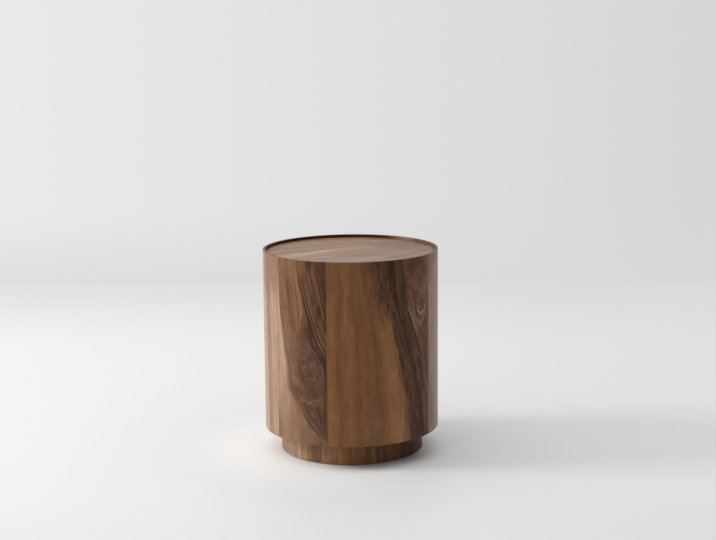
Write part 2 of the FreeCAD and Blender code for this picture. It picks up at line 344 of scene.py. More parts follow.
def placeGrain(w, tone, lineTone, rings, across, along, seed, depths):
    named = {"Line Tone": lineTone, **dict(zip(depthNames, depths))}
    return w.place(walnutGrain, Tone=tone, Rings=rings, Across=across, Along=along, Seed=seed, **named)


def wandered(w, across, along, seed, reach):
    return w.place(grainWander, Across=across, Along=along, Seed=seed, Reach=reach)["Across"]


def feathered(w, rings, along, leaf):
    return w.place(grainFeather, Rings=rings, Along=along, Seed=leaf["seed"], Reach=leaf["feather"])["Rings"]


# Satin lacquer over grain
finish = {
    "specular": 0.12, "lineTone": "plum", "bumpStrength": 0.25, "bumpDepth": 0.12 * mm,
    "forceFade": 4.0,  # mm to both sides of a change in the streaks' strength
}


def lacquer(w, skin, tone, rings, across, along, leaf):
    bandDepth, streakDepth, lineDepth, poreDepth = leaf["depths"]
    if "force" in leaf:
        change, before, after = leaf["force"]  # the streaks' strength before and after a ring, in mm
        low, high = (change - finish["forceFade"]) * mm, (change + finish["forceFade"]) * mm
        streakDepth = w.times(w.smooth(rings, low, high, before, after), streakDepth)
    depths = (bandDepth, streakDepth, lineDepth, poreDepth)
    lineTone = walnutTones[leaf.get("lineTone", finish["lineTone"])]
    grain = placeGrain(w, tone, lineTone, rings, across, along, leaf["seed"], depths)
    colour = w.scaled(grain["Colour"], leaf["gain"]) if "gain" in leaf else grain["Colour"]
    w.plug(colour, skin.inputs["Base Color"])
    w.plug(grain["Roughness"], skin.inputs["Roughness"])
    skin.inputs["Specular IOR Level"].default_value = leaf.get("specular", finish["specular"])
    addBump(w, skin, grain["Relief"], finish["bumpStrength"], finish["bumpDepth"])


# How the figure is drawn; lengths in mm
drawing = {
    "lineGap": 0.5,  # least between two drawn lines
    "streakFade": 0.35,  # share of a streak's length that fades at each end
    "curlFade": 0.3,  # in heights of the curl
    "clump": (0.47, 0.6),  # noise where a clump starts and is full
    "clumpDetail": 2.0,
    "swirl": (27.0, 15.0),  # scale across and along per metre
    "swirlDetail": 4.0,
    "ragged": 1.2,  # how far patches and streaks follow the feathered edges
    "heartEdge": 2.5,  # half the width of the change from sapwood to heartwood
    "sapRings": 200.0,  # where the sapwood's own rings start
    "leanFrom": 290.0,  # height where a leaning stripe is in its place
}


# Patches of another tone, each (across, along, width, height) in mm, tone, strength
def patched(w, tone, across, along, patches):
    for place, patchTone, strength in patches:
        share = w.times(w.spot(across, along, place), strength)
        tone = w.blend(share, tone, walnutTones[patchTone])
    return tone


# Streaks along a drawn line, each points in mm, width, tone, strength
def streaked(w, tone, across, along, streaks):
    for points, width, streakTone, strength in streaks:
        heights = [height * mm for height, side in points]
        low, high = min(heights), max(heights)
        fade = (high - low) * drawing["streakFade"]
        share = w.times(w.smooth(w.apart(across, w.drawn(along, points)), width * mm, 0.0), strength)
        share = w.times(share, w.smooth(along, low, low + fade), w.smooth(along, high, high - fade))
        tone = w.blend(share, tone, walnutTones[streakTone])
    return tone


# Curled lines round an eye, each (across, along, width, height) in mm, line width, tone, strength, from, to
def curled(w, tone, across, along, curls):
    fade = drawing["curlFade"]
    for place, width, curlTone, strength, low, high in curls:
        x, y = w.offset(across, along, place)
        share = w.times(w.smooth(w.apart(w.length(x, y), 1.0), width / place[2], 0.0), strength)
        share = w.times(share, w.smooth(y, low - fade, low + fade), w.smooth(y, high + fade, high - fade))
        tone = w.blend(share, tone, walnutTones[curlTone])
    return tone


# Clumps or thin veins of another tone, each (across, along, width, height) and clump size in mm,
# vein width (0 for clumps), tone, strength
def burled(w, tone, across, along, seed, burls):
    for place, (wide, tall), vein, burlTone, strength in burls:
        x, y = w.times(across, 1 / (wide * mm)), w.times(along, 1 / (tall * mm))
        clump = w.noise(x, y, seed + wide, drawing["clumpDetail"])
        share = w.smooth(w.apart(clump, 0.5), vein, 0.0) if vein > 0.0 else w.smooth(clump, *drawing["clump"])
        share = w.times(share, w.spot(across, along, place), strength)
        tone = w.blend(share, tone, walnutTones[burlTone])
    return tone


# Rings pushed aside round small eyes, each (across, along, width, height) in mm, lift
def withEyes(w, rings, across, along, eyes):
    for place, lift in eyes:
        rings = w.plus(rings, w.times(w.spot(across, along, place), lift * mm))
    return rings


# Growth rings between lines drawn up the leaf, left to right, each ring value in mm, points
def ringsBetween(w, across, along, lines):
    values = [value * mm for value, points in lines]
    sides = []
    for value, points in lines:
        side = w.drawn(along, points)
        sides.append(w.math("MAXIMUM", side, w.plus(sides[-1], drawing["lineGap"] * mm)) if sides else side)
    rings = w.plus(w.math("MINIMUM", w.minus(across, sides[0]), 0.0), values[0])
    for number in range(len(lines) - 1):
        step = values[number + 1] - values[number]
        rings = w.plus(rings, w.spread(across, sides[number], sides[number + 1], 0.0, step))
    return w.plus(rings, w.math("MAXIMUM", w.minus(across, sides[-1]), 0.0))


# Figure drawn line by line: sapwood, flames, dark heart, eyes and curls
def drawnFigure(w, across, along, leaf):
    wide, tall = drawing["swirl"]
    for place, reach, quick in leaf["swirls"]:
        x, y = w.times(across, wide * quick), w.times(along, tall * quick)
        twist = w.swing(w.noise(x, y, leaf["seed"] + place[0], drawing["swirlDetail"]))
        across = w.plus(across, w.times(w.spot(across, along, place), twist, reach * mm))
    rings = withEyes(w, ringsBetween(w, across, along, leaf["lines"]), across, along, leaf["eyes"])
    ragged = feathered(w, rings, along, leaf)
    across = w.plus(across, w.times(w.minus(ragged, rings), drawing["ragged"]))
    tone = patched(w, w.ramp(ragged, leaf["tones"]), across, along, leaf["patches"])
    tone = burled(w, tone, across, along, leaf["seed"], leaf["burls"])
    if "sapTones" in leaf:
        sap = patched(w, w.ramp(across, leaf["sapTones"]), across, along, leaf["sapPatches"])
        heart = w.smooth(ragged, -drawing["heartEdge"] * mm, drawing["heartEdge"] * mm)
        tone = w.blend(heart, streaked(w, sap, across, along, leaf["sapStreaks"]), tone)
        rings = w.lerp(heart, w.minus(across, drawing["sapRings"] * mm), rings)
    tone = streaked(w, tone, across, along, leaf["streaks"])
    return curled(w, tone, across, along, leaf["curls"]), rings


# Quarter-cut stripes
def stripeFigure(w, across, along, leaf):
    lean = w.times(w.minus(along, drawing["leanFrom"] * mm), leaf["lean"])
    rings = w.plus(w.minus(across, leaf["start"]), lean)
    tone = w.ramp(feathered(w, rings, along, leaf), leaf["tones"])
    return patched(w, tone, across, along, leaf.get("patches", ())), rings


# Crown-cut arches: distance from a heart that tilts away from the leaf
def crownFigure(w, across, along, leaf):
    middle, apex, tilt, depth = leaf["crown"]
    away = w.plus(w.times(w.minus(along, apex), tilt), depth)
    rings = w.length(w.minus(across, middle), away)
    return w.ramp(feathered(w, rings, along, leaf), leaf["tones"]), rings


def dressLeaf(w, skin, figure, across, along, leaf):
    bent = wandered(w, across, along, leaf["seed"], leaf["wander"])
    tone, rings = figure(w, bent, along, leaf)
    lacquer(w, skin, tone, rings, across, along, leaf)


def wallWalnut(name, radius, leaf):
    material, w, skin = newMaterial(name)
    wall = w.place(unrollWall, Radius=radius, Middle=math.radians(leaf["from"] + leaf["width"] / 2))
    dressLeaf(w, skin, leaf["figure"], wall["Across"], wall["Along"], leaf)
    return material


def flatWalnut(name, leaf):
    material, w, skin = newMaterial(name)
    along, across, up = w.here()
    dressLeaf(w, skin, topFigure, across, along, leaf)
    return material


# Meshes
def newPiece(name, bm, material, body="table", stands=(), sharp=35.0):
    bmesh.ops.recalc_face_normals(bm, faces=bm.faces)
    mesh = bpy.data.meshes.new(name)
    bm.to_mesh(mesh)
    bm.free()
    mesh.polygons.foreach_set("use_smooth", [True] * len(mesh.polygons))
    mesh.set_sharp_from_angle(angle=math.radians(sharp))
    mesh.materials.append(material)
    piece = bpy.data.objects.new(name, mesh)
    scene.collection.objects.link(piece)
    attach(piece, body)
    if stands:
        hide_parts(*stands)
    return piece


walls = {
    "support": 0.4 * mm,  # from an easing to the line that holds it
    "easeSteps": 3, "fewest": 8,  # least faces round a leaf; else one to a degree
    "seamHold": 4, "seamDrop": 0.5,  # widths of a seam that its easing takes, and how deep it goes
    "skin": 0.1 * mm,  # points this near the outside are the ones that drop
}


# Outline of an upright wall, eased on the named edges, with a support line beside each easing
def wallOutline(inner, outer, low, high, eases):
    corners = [(inner, low, 180, "innerLow"), (outer, low, 270, "outerLow"),
               (outer, high, 0, "outerHigh"), (inner, high, 90, "innerHigh")]
    outline = []
    for r, z, start, edge in corners:
        ease = eases.get(edge, 0.0)
        if ease == 0.0:
            outline.append((r, z))
            continue
        toR = 1 if r == inner else -1
        toZ = 1 if z == low else -1
        arc = []
        for step in range(walls["easeSteps"] + 1):
            turn = math.radians(start + 90 * step / walls["easeSteps"])
            arc.append((r + toR * ease + ease * math.cos(turn), z + toZ * ease + ease * math.sin(turn)))
        upright = (r, z + toZ * (ease + walls["support"]))
        if edge in ("outerLow", "innerHigh"):
            outline += arc + [upright]
        else:
            outline += [upright] + arc
    return outline


# Sweeps an outline round the table's axis; angles are from the front, to the right
def sweepWall(outline, start, sweep, seam=0.0):
    bm = bmesh.new()
    whole = sweep == 360
    far = max(r for r, z in outline)
    count = max(walls["fewest"], round(sweep))
    angles = [start + sweep * step / count for step in range(count + (0 if whole else 1))]
    drops = [0.0] * len(angles)
    if not whole and seam > 0.0:
        edge = math.degrees(seam / far)
        hold = walls["seamHold"] * edge
        angles[1:1] = [start + edge, start + hold]
        angles[-1:-1] = [start + sweep - hold, start + sweep - edge]
        drops = [0.0] * len(angles)
        drops[0] = drops[-1] = seam * walls["seamDrop"]
    rings = []
    for angle, drop in zip(angles, drops):
        turn = math.radians(angle)
        ring = []
        for r, z in outline:
            reach = r - drop if r > far - walls["skin"] else r
            ring.append(bm.verts.new((reach * math.sin(turn), -reach * math.cos(turn), z)))
        rings.append(ring)
    size = len(outline)
    for step in range(len(rings) if whole else len(rings) - 1):
        here, there = rings[step], rings[(step + 1) % len(rings)]
        for point in range(size):
            follow = (point + 1) % size
            bm.faces.new((here[point], there[point], there[follow], here[follow]))
    if not whole:
        bm.faces.new(rings[0])
        bm.faces.new(list(reversed(rings[-1])))
    return bm


# Drum wall
drum = {
    "radius": 225.0 * mm, "veneer": 0.6 * mm, "ease": 0.3 * mm, "seam": 0.12 * mm,
    "low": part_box("drum_veneer_leaf_1")[0].z, "high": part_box("drum_veneer_leaf_1")[1].z,
}
drumLeaves = {}
drumLeaves["drum_veneer_leaf_1"] = {
    "from": -55.4, "width": 40.0, "seed": 2.4, "wander": 0.005, "feather": 0.008, "figure": drawnFigure,
    "depths": (0.5, 1.0, 0.3, 0.35), "lineTone": "mauve", "force": (-4, 0.5, 1.0),
    "lines": [
        (0, [
            (525, -209), (470, -208), (420, -205), (385, -202), (350, -196), (315, -191), (285, -187),
            (260, -182), (235, -179), (210, -177), (197, -175), (190, -172), (175, -162), (150, -142),
            (130, -126), (110, -110), (90, -93), (72, -79), (58, -68),
        ]),
        (30, [
            (525, -169), (470, -167), (430, -163), (400, -158), (350, -149), (325, -144), (300, -141),
            (250, -134), (200, -124), (170, -112), (140, -100), (110, -88), (80, -70), (58, -58),
        ]),
        (60, [
            (525, -141), (495, -139), (470, -135), (445, -129), (420, -124), (400, -122), (370, -130),
            (350, -136), (325, -143), (300, -138), (250, -132), (200, -122), (170, -110), (140, -98),
            (110, -86), (80, -68), (58, -56),
        ]),
        (90, [
            (525, -140), (495, -138), (470, -134), (445, -128), (420, -122), (400, -116), (378, -107),
            (350, -98), (318, -85), (294, -70), (260, -52), (200, -40), (58, -30),
        ]),
        (120, [
            (525, -118), (495, -115), (470, -110), (445, -104), (420, -98), (400, -92), (380, -86),
            (360, -78), (340, -70), (325, -62), (300, -48), (200, -34), (58, -20),
        ]),
    ],
    "sapTones": stops(
        "-226 cream, -219 paleTan, -213 cream, -206 sapwood, -196 cream, -186 sapwood, -176 cream, "
        "-164 paleTan, -140 flame, -120 flame, -100 mauve, -70 plum"
    ),
    "tones": stops(
        "0 flame, 5 mauve, 9 flame, 13 mauve, 17 flame, 21 mauve, 26 redBrown, 29.5 plum, 32 mauve, "
        "38 brown, 42 flame, 46 redBrown, 50 mauve, 54 flame, 57 brown, 59.5 redBrown, 61 plum, 65 rose, "
        "69 plum, 73 rose, 77 plum, 80 rose, 83 chocolate, 88 dark, 91 ink, 94 dark, 96 redBrown, "
        "100 chocolate, 103 dark, 105.5 chocolate, 107.5 brown, 110 redBrown, 113 dark, 116 redBrown, "
        "121 chocolate, 127 redBrown, 133 chocolate, 140 redBrown, 147 chocolate, 154 olive, 170 dark, "
        "185 chocolate"
    ),
    "swirls": [
        ((-110, 250, 60, 140), 34, 1.0), ((-108, 235, 45, 110), 16, 3.2), ((-95, 110, 45, 80), 26, 1.0),
    ],
    "eyes": [((-118, 275, 26, 30), 7), ((-104, 212, 27, 40), 11)],
    "burls": [
        ((-104, 230, 46, 125), (17, 22), 0, "chocolate", 0.8),
        ((-104, 230, 46, 125), (21, 28), 0.03, "greyMauve", 0.75),
        ((-112, 250, 46, 105), (13, 19), 0.035, "dark", 0.6), ((-95, 115, 40, 62), (8, 30), 0, "dark", 0.6),
        ((-175, 380, 45, 150), (5, 9), 0, "plum", 0.5),
    ],
    "patches": [
        ((-158, 280, 26, 95), "greyMauve", 0.65), ((-142, 190, 16, 22), "plumDark", 0.55),
        ((-118, 334, 20, 30), "chocolate", 0.6), ((-88, 225, 20, 70), "chocolate", 0.5),
        ((-150, 197, 12, 20), "plum", 0.6), ((-115, 150, 20, 30), "plumDark", 0.6),
        ((-126, 276, 22, 24), "rose", 0.75), ((-110, 224, 18, 20), "olive", 0.7),
        ((-98, 205, 18, 18), "plum", 0.6), ((-114, 314, 17, 15), "plum", 0.7),
        ((-102, 258, 12, 14), "redBrown", 0.5), ((-84, 262, 9, 24), "chocolate", 0.6),
        ((-72, 284, 8, 24), "dark", 0.7), ((-112, 350, 14, 22), "dark", 0.7),
        ((-88, 190, 16, 10), "dark", 0.5), ((-105, 518, 13, 22), "ink", 0.8), ((-80, 400, 9, 24), "ink", 0.8),
        ((-93, 425, 10, 20), "dark", 0.6), ((-95, 115, 42, 62), "plumDark", 0.85),
        ((-106, 240, 36, 78), "plumDark", 0.3), ((-150, 508, 44, 44), "flame", 0.5),
        ((-180, 315, 20, 90), "greyTan", 0.45),
    ],
    "streaks": [
        ([(460, -108), (430, -106), (400, -100), (380, -94), (365, -88)], 2.5, "mauve", 0.7),
        ([(212, -129), (203, -126), (194, -121), (187, -113), (180, -104)], 3.0, "greyMauve", 0.9),
        ([(252, -91), (242, -97), (230, -100), (218, -101)], 3.5, "mauve", 0.7),
        ([(330, -84), (318, -79), (308, -73), (297, -66), (288, -61)], 2.2, "greyMauve", 0.8),
        ([(338, -96), (322, -91), (310, -85), (298, -78)], 2.2, "mauve", 0.6),
        ([(345, -103), (325, -97), (305, -89), (285, -78)], 2.0, "dark", 0.5),
        ([(192, -157), (165, -139), (140, -120), (115, -101), (86, -80)], 3.0, "greyTan", 0.75),
        ([(182, -152), (150, -129), (120, -107), (92, -87)], 3.4, "ink", 0.7),
        ([(186, -141), (160, -124), (135, -107), (110, -90), (86, -74)], 2.8, "greyMauve", 0.9),
        ([(176, -136), (145, -113), (118, -94), (94, -77)], 3.4, "ink", 0.7),
        ([(172, -121), (146, -105), (124, -91), (100, -75)], 2.8, "greyMauve", 0.8),
        ([(160, -104), (130, -88), (105, -74), (90, -64)], 2.4, "mauve", 0.5),
        ([(330, -65), (200, -66), (60, -65)], 7.0, "ink", 0.6),
        ([
            (235, -168), (200, -161), (175, -145), (150, -126), (125, -108), (100, -91), (70, -70),
        ], 15.0, "plum", 0.85),
        ([(524, -65), (430, -64), (300, -65)], 9.0, "ink", 0.6),
    ],
    "sapPatches": [
        ((-219, 508, 18, 110), "tan", 0.85), ((-150, 85, 75, 62), "greyTan", 0.6),
        ((-216, 90, 28, 62), "greyMauve", 0.6), ((-188, 132, 36, 66), "greyTan", 0.6),
        ((-178, 205, 22, 44), "greyTan", 0.5), ((-190, 70, 40, 44), "mauve", 0.3),
        ((-108, 82, 42, 42), "mauve", 0.5),
    ],
    "sapStreaks": [
        ([
            (505, -212), (430, -210), (380, -207), (330, -203), (280, -197), (230, -189), (185, -182),
        ], 10.0, "sapwood", 0.9),
        ([(524, -221), (400, -220), (300, -214), (200, -206), (120, -200)], 5.0, "tan", 0.3),
    ],
    "curls": [
        ((-108, 186, 12, 20), 2.5, "greyTan", 0.75, -2, -0.5),
        ((-105, 186, 9, 11), 2.0, "dark", 0.6, -2, -0.4), ((-88, 184, 10, 11), 2.5, "mauve", 0.6, -2, -0.4),
        ((-96, 250, 16, 26), 2.5, "rose", 0.5, -0.2, 2),
    ],
}
drumLeaves["drum_veneer_leaf_2"] = {
    "from": -15.4, "width": 76.0, "seed": 7.9, "wander": 0.006, "feather": 0.015, "figure": drawnFigure,
    "depths": (0.45, 0.95, 0.3, 0.35), "lineTone": "redBrown", "force": (108, 0.85, 2.1),
    "lines": [
        (-20, [(525, -20), (300, -20), (58, -20)]),
        (70, [(525, 36), (452, 52), (400, 62), (350, 72), (300, 80), (200, 88), (100, 92), (58, 93)]),
        (110, [
            (525, 60), (490, 64), (465, 69), (440, 77), (415, 86), (400, 91), (378, 98), (349, 108),
            (320, 115), (298, 121), (270, 128), (246, 134), (215, 142), (190, 149), (160, 153), (129, 156),
            (95, 157), (58, 159),
        ]),
        (150, [
            (525, 104), (480, 107), (440, 114), (400, 124), (360, 138), (330, 148), (300, 156), (260, 165),
            (220, 175), (180, 188), (150, 196), (100, 206), (58, 212),
        ]),
        (180, [
            (525, 140), (480, 143), (440, 148), (400, 156), (370, 168), (345, 178), (325, 184), (290, 194),
            (250, 204), (200, 214), (150, 222), (58, 236),
        ]),
        (210, [
            (525, 165), (480, 168), (440, 178), (410, 190), (390, 200), (370, 212), (340, 224), (300, 234),
            (250, 240), (58, 260),
        ]),
    ],
    "tones": stops(
        "-64 brown, -54 honey, -44 brown, -30 redBrown, -20 brown, -6 honey, 6 brown, 14 redBrown, 24 brown, "
        "34 redBrown, 44 brown, 52 redBrown, 62 brown, 70 honey, 80 tan, 86 gold, 97 gold, 104 honey, "
        "109 brown, 111 chocolate, 116 plumDark, 121 chocolate, 126 plum, 131 chocolate, 137 olive, "
        "142 chocolate, 147 dark, 152 ink, 157 dark, 162 olive, 167 olive, 172 plumDark, 178 dark, 183 plum, "
        "190 redBrown, 198 plumDark, 206 redBrown, 214 plum, 222 redBrown, 235 plum, 250 redBrown"
    ),
    "swirls": [((200, 420, 45, 110), 32, 1.0), ((80, 450, 48, 100), 24, 1.0), ((160, 200, 50, 160), 16, 1.0)],
    "eyes": [((2, 410, 16, 50), 7), ((203, 412, 18, 50), 16)],
    "burls": [
        ((86, 460, 32, 85), (6, 34), 0, "ink", 0.85), ((90, 430, 32, 85), (8, 40), 0.03, "rose", 0.6),
        ((200, 420, 44, 110), (9, 30), 0, "plumDark", 0.6),
        ((196, 410, 44, 110), (16, 44), 0.03, "greyTan", 0.6),
        ((165, 250, 60, 190), (6, 60), 0, "dark", 0.65), ((165, 230, 60, 170), (9, 70), 0.03, "greyTan", 0.2),
        ((10, 290, 90, 290), (5, 90), 0, "plum", 0.22),
    ],
    "patches": [
        ((170, 460, 16, 55), "redBrown", 0.7), ((210, 350, 26, 38), "plumDark", 0.7),
        ((60, 452, 19, 88), "plum", 0.85), ((-42, 120, 20, 120), "tan", 0.5),
        ((180, 510, 40, 24), "dark", 0.6), ((188, 125, 24, 95), "ink", 0.6),
        ((50, 330, 14, 50), "redBrown", 0.4), ((58, 110, 28, 70), "mauve", 0.5),
        ((54, 508, 12, 22), "olive", 0.7), ((72, 500, 10, 28), "plumDark", 0.7),
        ((226, 460, 26, 75), "mauve", 0.4), ((226, 150, 22, 95), "mauve", 0.5),
        ((78, 402, 20, 36), "plum", 0.8), ((42, 512, 14, 26), "redBrown", 0.7),
        ((62, 515, 26, 30), "dark", 0.5), ((-58, 470, 7, 75), "redBrown", 0.6),
        ((82, 372, 18, 34), "plum", 0.5), ((205, 480, 45, 50), "plumDark", 0.3),
        ((142, 450, 15, 60), "dark", 0.6), ((168, 498, 10, 26), "dark", 0.6),
        ((164, 338, 16, 58), "dark", 0.6), ((113, 388, 16, 14), "plumDark", 0.7),
        ((118, 358, 14, 24), "olive", 0.6), ((207, 417, 8, 9), "greyTan", 0.5),
        ((188, 438, 9, 10), "dark", 0.35), ((-46, 490, 20, 85), "redBrown", 0.6),
        ((50, 508, 28, 42), "chocolate", 0.5), ((62, 468, 14, 40), "chocolate", 0.45),
        ((92, 358, 20, 52), "brown", 0.7), ((105, 290, 16, 66), "brown", 0.55),
        ((148, 74, 16, 30), "redBrown", 0.5), ((165, 500, 34, 34), "dark", 0.35),
        ((185, 388, 26, 30), "plumDark", 0.5), ((100, 470, 16, 60), "ink", 0.4),
        ((136, 412, 22, 62), "ink", 0.5), ((222, 275, 20, 110), "plumDark", 0.45),
    ],
    "streaks": [
        ([
            (415, 153), (400, 158), (385, 165), (365, 174), (350, 180), (335, 185), (322, 188),
        ], 7.5, "paleTan", 1.0),
        ([
            (525, 119), (480, 121), (440, 125), (400, 131), (370, 137), (340, 142), (315, 147),
        ], 4.0, "plum", 0.6),
        ([(495, 153), (470, 157), (445, 161)], 2.5, "mauve", 0.6),
        ([(522, 107), (480, 110), (440, 113), (405, 119)], 3.0, "ink", 0.6),
        ([(512, 92), (490, 94), (460, 96)], 6.0, "ink", 0.7),
        ([(455, 69), (435, 77), (415, 84)], 5.0, "ink", 0.7),
        ([(404, 83), (392, 90), (380, 96)], 4.0, "ink", 0.7),
        ([(410, 96), (385, 100), (360, 105), (325, 112)], 2.5, "tan", 0.6),
        ([(294, 177), (280, 190), (268, 201)], 3.0, "greyTan", 0.6),
        ([(156, 157), (148, 170), (140, 181), (125, 187), (95, 196)], 3.0, "mauve", 0.6),
        ([(215, 170), (190, 182), (165, 192), (140, 200), (90, 206)], 9.0, "ink", 0.6),
        ([(250, 129), (230, 133), (210, 138)], 2.0, "tan", 0.6),
        ([(410, 64), (350, 65), (290, 66)], 1.6, "plum", 0.6),
        ([(240, 72), (180, 71), (130, 70)], 2.2, "plum", 0.5),
        ([(190, 67), (140, 65), (60, 63)], 2.0, "tan", 0.5),
    ],
    "curls": [
        ((203, 414, 21, 33), 4.0, "paleTan", 0.95, -2, -0.35),
        ((203, 414, 12, 11), 3.5, "dark", 0.7, -2, -0.1), ((198, 440, 30, 84), 3.5, "greyTan", 0.7, -2, -0.4),
        ((204, 424, 14, 60), 2.5, "mauve", 0.5, -0.2, 2), ((0, 410, 9, 28), 2.0, "plum", 0.4, -2, 2),
    ],
}
drumLeaves["drum_veneer_leaf_3"] = {
    "from": 60.6, "width": 46.0, "seed": 13.3, "wander": 0.01, "feather": 0.01, "figure": stripeFigure,
    "depths": (0.45, 0.9, 0.3, 0.35), "start": 0.238, "lean": 0.02, "specular": 0.3,
    "patches": [
        ((248, 505, 22, 75), "brown", 0.75), ((252, 135, 24, 110), "brown", 0.7),
        ((276, 520, 22, 40), "redBrown", 0.6),
    ],
    "tones": stops(
        "-10 greyTan, 15 paleTan, 30 greyTan, 55 paleTan, 80 honey, 110 greyTan, 140 brown, 190 honey"
    ),
}
drumLeaves["drum_veneer_leaf_4"] = {
    "from": 106.6, "width": 52.0, "seed": 19.1, "wander": 0.014, "feather": 0.008, "figure": crownFigure,
    "depths": (0.45, 0.9, 0.5, 0.35), "crown": (0.52, 0.1, 0.16, 0.02),
    "tones": stops(
        "0 chocolate, 20 plum, 36 redBrown, 50 brown, 62 redBrown, 78 honey, 92 brown, 120 tan, 150 honey"
    ),
}
drumLeaves["drum_veneer_leaf_5"] = {
    "from": 158.6, "width": 39.0, "seed": 23.7, "wander": 0.009, "feather": 0.01, "figure": stripeFigure,
    "depths": (0.45, 0.9, 0.3, 0.35), "start": 0.623, "lean": -0.035,
    "tones": stops(
        "-20 brown, 10 redBrown, 34 honey, 52 brown, 70 plum, 88 redBrown, 110 brown, 135 mauve, 180 brown"
    ),
}
drumLeaves["drum_veneer_leaf_6"] = {
    "from": 197.6, "width": 59.0, "seed": 31.2, "wander": 0.01, "feather": 0.009, "figure": drawnFigure,
    "depths": (0.45, 0.95, 0.35, 0.35), "lineTone": "redBrown",
    "lines": [
        (770, [(525, 770), (58, 770)]),
        (850, [(525, 872), (430, 862), (330, 848), (240, 838), (150, 822), (58, 812)]),
        (890, [(525, 918), (440, 902), (340, 880), (240, 866), (150, 852), (58, 846)]),
        (930, [(525, 962), (440, 946), (350, 926), (250, 906), (150, 892), (58, 884)]),
    ],
    "tones": stops(
        "765 redBrown, 785 brown, 800 honey, 815 brown, 830 tan, 845 honey, 849 brown, 851 dark, "
        "858 chocolate, 864 dark, 872 olive, 880 dark, 890 plum, 902 redBrown, 914 plum, 930 mauve, "
        "950 honey, 975 tan, 1000 honey, 1030 tan"
    ),
    "swirls": [((905, 330, 45, 110), 26, 1.0)],
    "eyes": [((815, 220, 18, 60), 8), ((925, 380, 22, 70), 14)],
    "burls": [
        ((905, 340, 45, 110), (7, 30), 0, "dark", 0.5), ((925, 380, 40, 90), (14, 36), 0.03, "greyTan", 0.5),
    ],
    "patches": [((905, 430, 20, 60), "redBrown", 0.6), ((800, 150, 28, 80), "mauve", 0.5)],
    "streaks": [
        ([(360, 900), (300, 886), (250, 876)], 3.0, "greyTan", 0.7),
        ([(500, 905), (440, 892), (400, 884)], 5.0, "ink", 0.6),
    ],
    "curls": [((925, 390, 14, 44), 2.5, "mauve", 0.5, -2, -0.1)],
}
drumLeaves["drum_veneer_leaf_7"] = {
    "from": 256.6, "width": 48.0, "seed": 37.5, "wander": 0.01, "feather": 0.01, "figure": stripeFigure,
    "depths": (0.45, 0.9, 0.3, 0.35), "start": 1.196, "lean": 0.03, "specular": 0.5,
    "patches": [((1186, 500, 28, 95), "tan", 0.95), ((1140, 492, 48, 100), "honey", 0.9)],
    "tones": stops(
        "-215 brown, -170 honey, -140 tan, -114 paleTan, -92 cream, -70 sapwood, -58 paleTan, -50 tan, "
        "-34 paleTan, -22 sapwood, -12 cream, 15 sapwood"
    ),
}


def makeDrumWall():
    inner = drum["radius"] - drum["veneer"]
    eases = {"outerLow": drum["ease"], "outerHigh": drum["ease"]}
    outline = wallOutline(inner, drum["radius"], drum["low"], drum["high"], eases)
    for node, leaf in drumLeaves.items():
        material = wallWalnut(node.replace("drum_veneer", "drumWalnut"), drum["radius"], leaf)
        wall = sweepWall(outline, leaf["from"], leaf["width"], drum["seam"])
        newPiece(node.replace("veneer_leaf", "leaf"), wall, material, stands=(node,))
    print("drum wall:", len(drumLeaves), "veneer leaves")


makeDrumWall()

# Rim, inner band and the drum's foot edge
edging = {
    "rimTones": stops(
        "-710 chocolate, -400 redBrown, -100 brown, 230 brown, 320 dark, 430 dark, 710 chocolate"
    ),
    # darker walnut, with painted shade round the left and back of the inner band and painted light on its
    # rear right, where the key light falls
    "insidePaintedLightAndShade": stops(
        "-710 ink, -300 ink, 0 dark, 300 chocolate, 440 greyMauve, 500 greyMauve, 522 ash, 550 ash, "
        "574 greyMauve, 597 chocolate, 621 dark, 648 ink, 710 ink"
    ),
    "depths": (0.4, 0.8, 0.3, 0.35), "ease": 0.25 * mm, "rimSeed": 41.3, "insideSeed": 43.9,
    "sway": 12.0 * mm, "swayScale": 7.0, "swayDetail": 2.0,  # of the grain, up and down, per metre
    "inner": 218.3 * mm, "core": 218.9 * mm, "outer": 224.4 * mm,
}


# Grain that runs round the table, so Along is the way round
def roundWalnut(name, radius, seed, tones):
    material, w, skin = newMaterial(name)
    wall = w.place(unrollWall, Radius=radius, Middle=0.0)
    around, up = wall["Across"], wall["Along"]
    sway = w.swing(w.noise(w.times(around, edging["swayScale"]), 0.0, seed, edging["swayDetail"]))
    rings = w.plus(up, w.times(sway, edging["sway"]))
    lacquer(w, skin, w.ramp(around, tones), rings, up, around, {"depths": edging["depths"], "seed": seed})
    return material


def makeRing(name, node, inner, outer, material, ease=0.0):
    low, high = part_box(node)
    outline = wallOutline(inner, outer, low.z, high.z, {"innerHigh": ease})
    newPiece(name, sweepWall(outline, 0, 360), material, stands=(node,))


def makeEdging():
    inner, core, outer = edging["inner"], edging["core"], edging["outer"]
    edge = roundWalnut("rimWalnut", outer, edging["rimSeed"], edging["rimTones"])
    # the inner band's tones carry painted shade and painted light
    inside = roundWalnut("rimInsideWalnutPaintedShade", outer, edging["insideSeed"], edging["insidePaintedLightAndShade"])
    makeRing("rim_edge", "rim_lipping", core, outer, edge)
    makeRing("rim_inside", "rim_inner_band", inner, core, inside, edging["ease"])
    makeRing("drum_foot_edge", "drum_foot_lipping", core, outer, edge)
    print("rim and edges ready")


makeEdging()

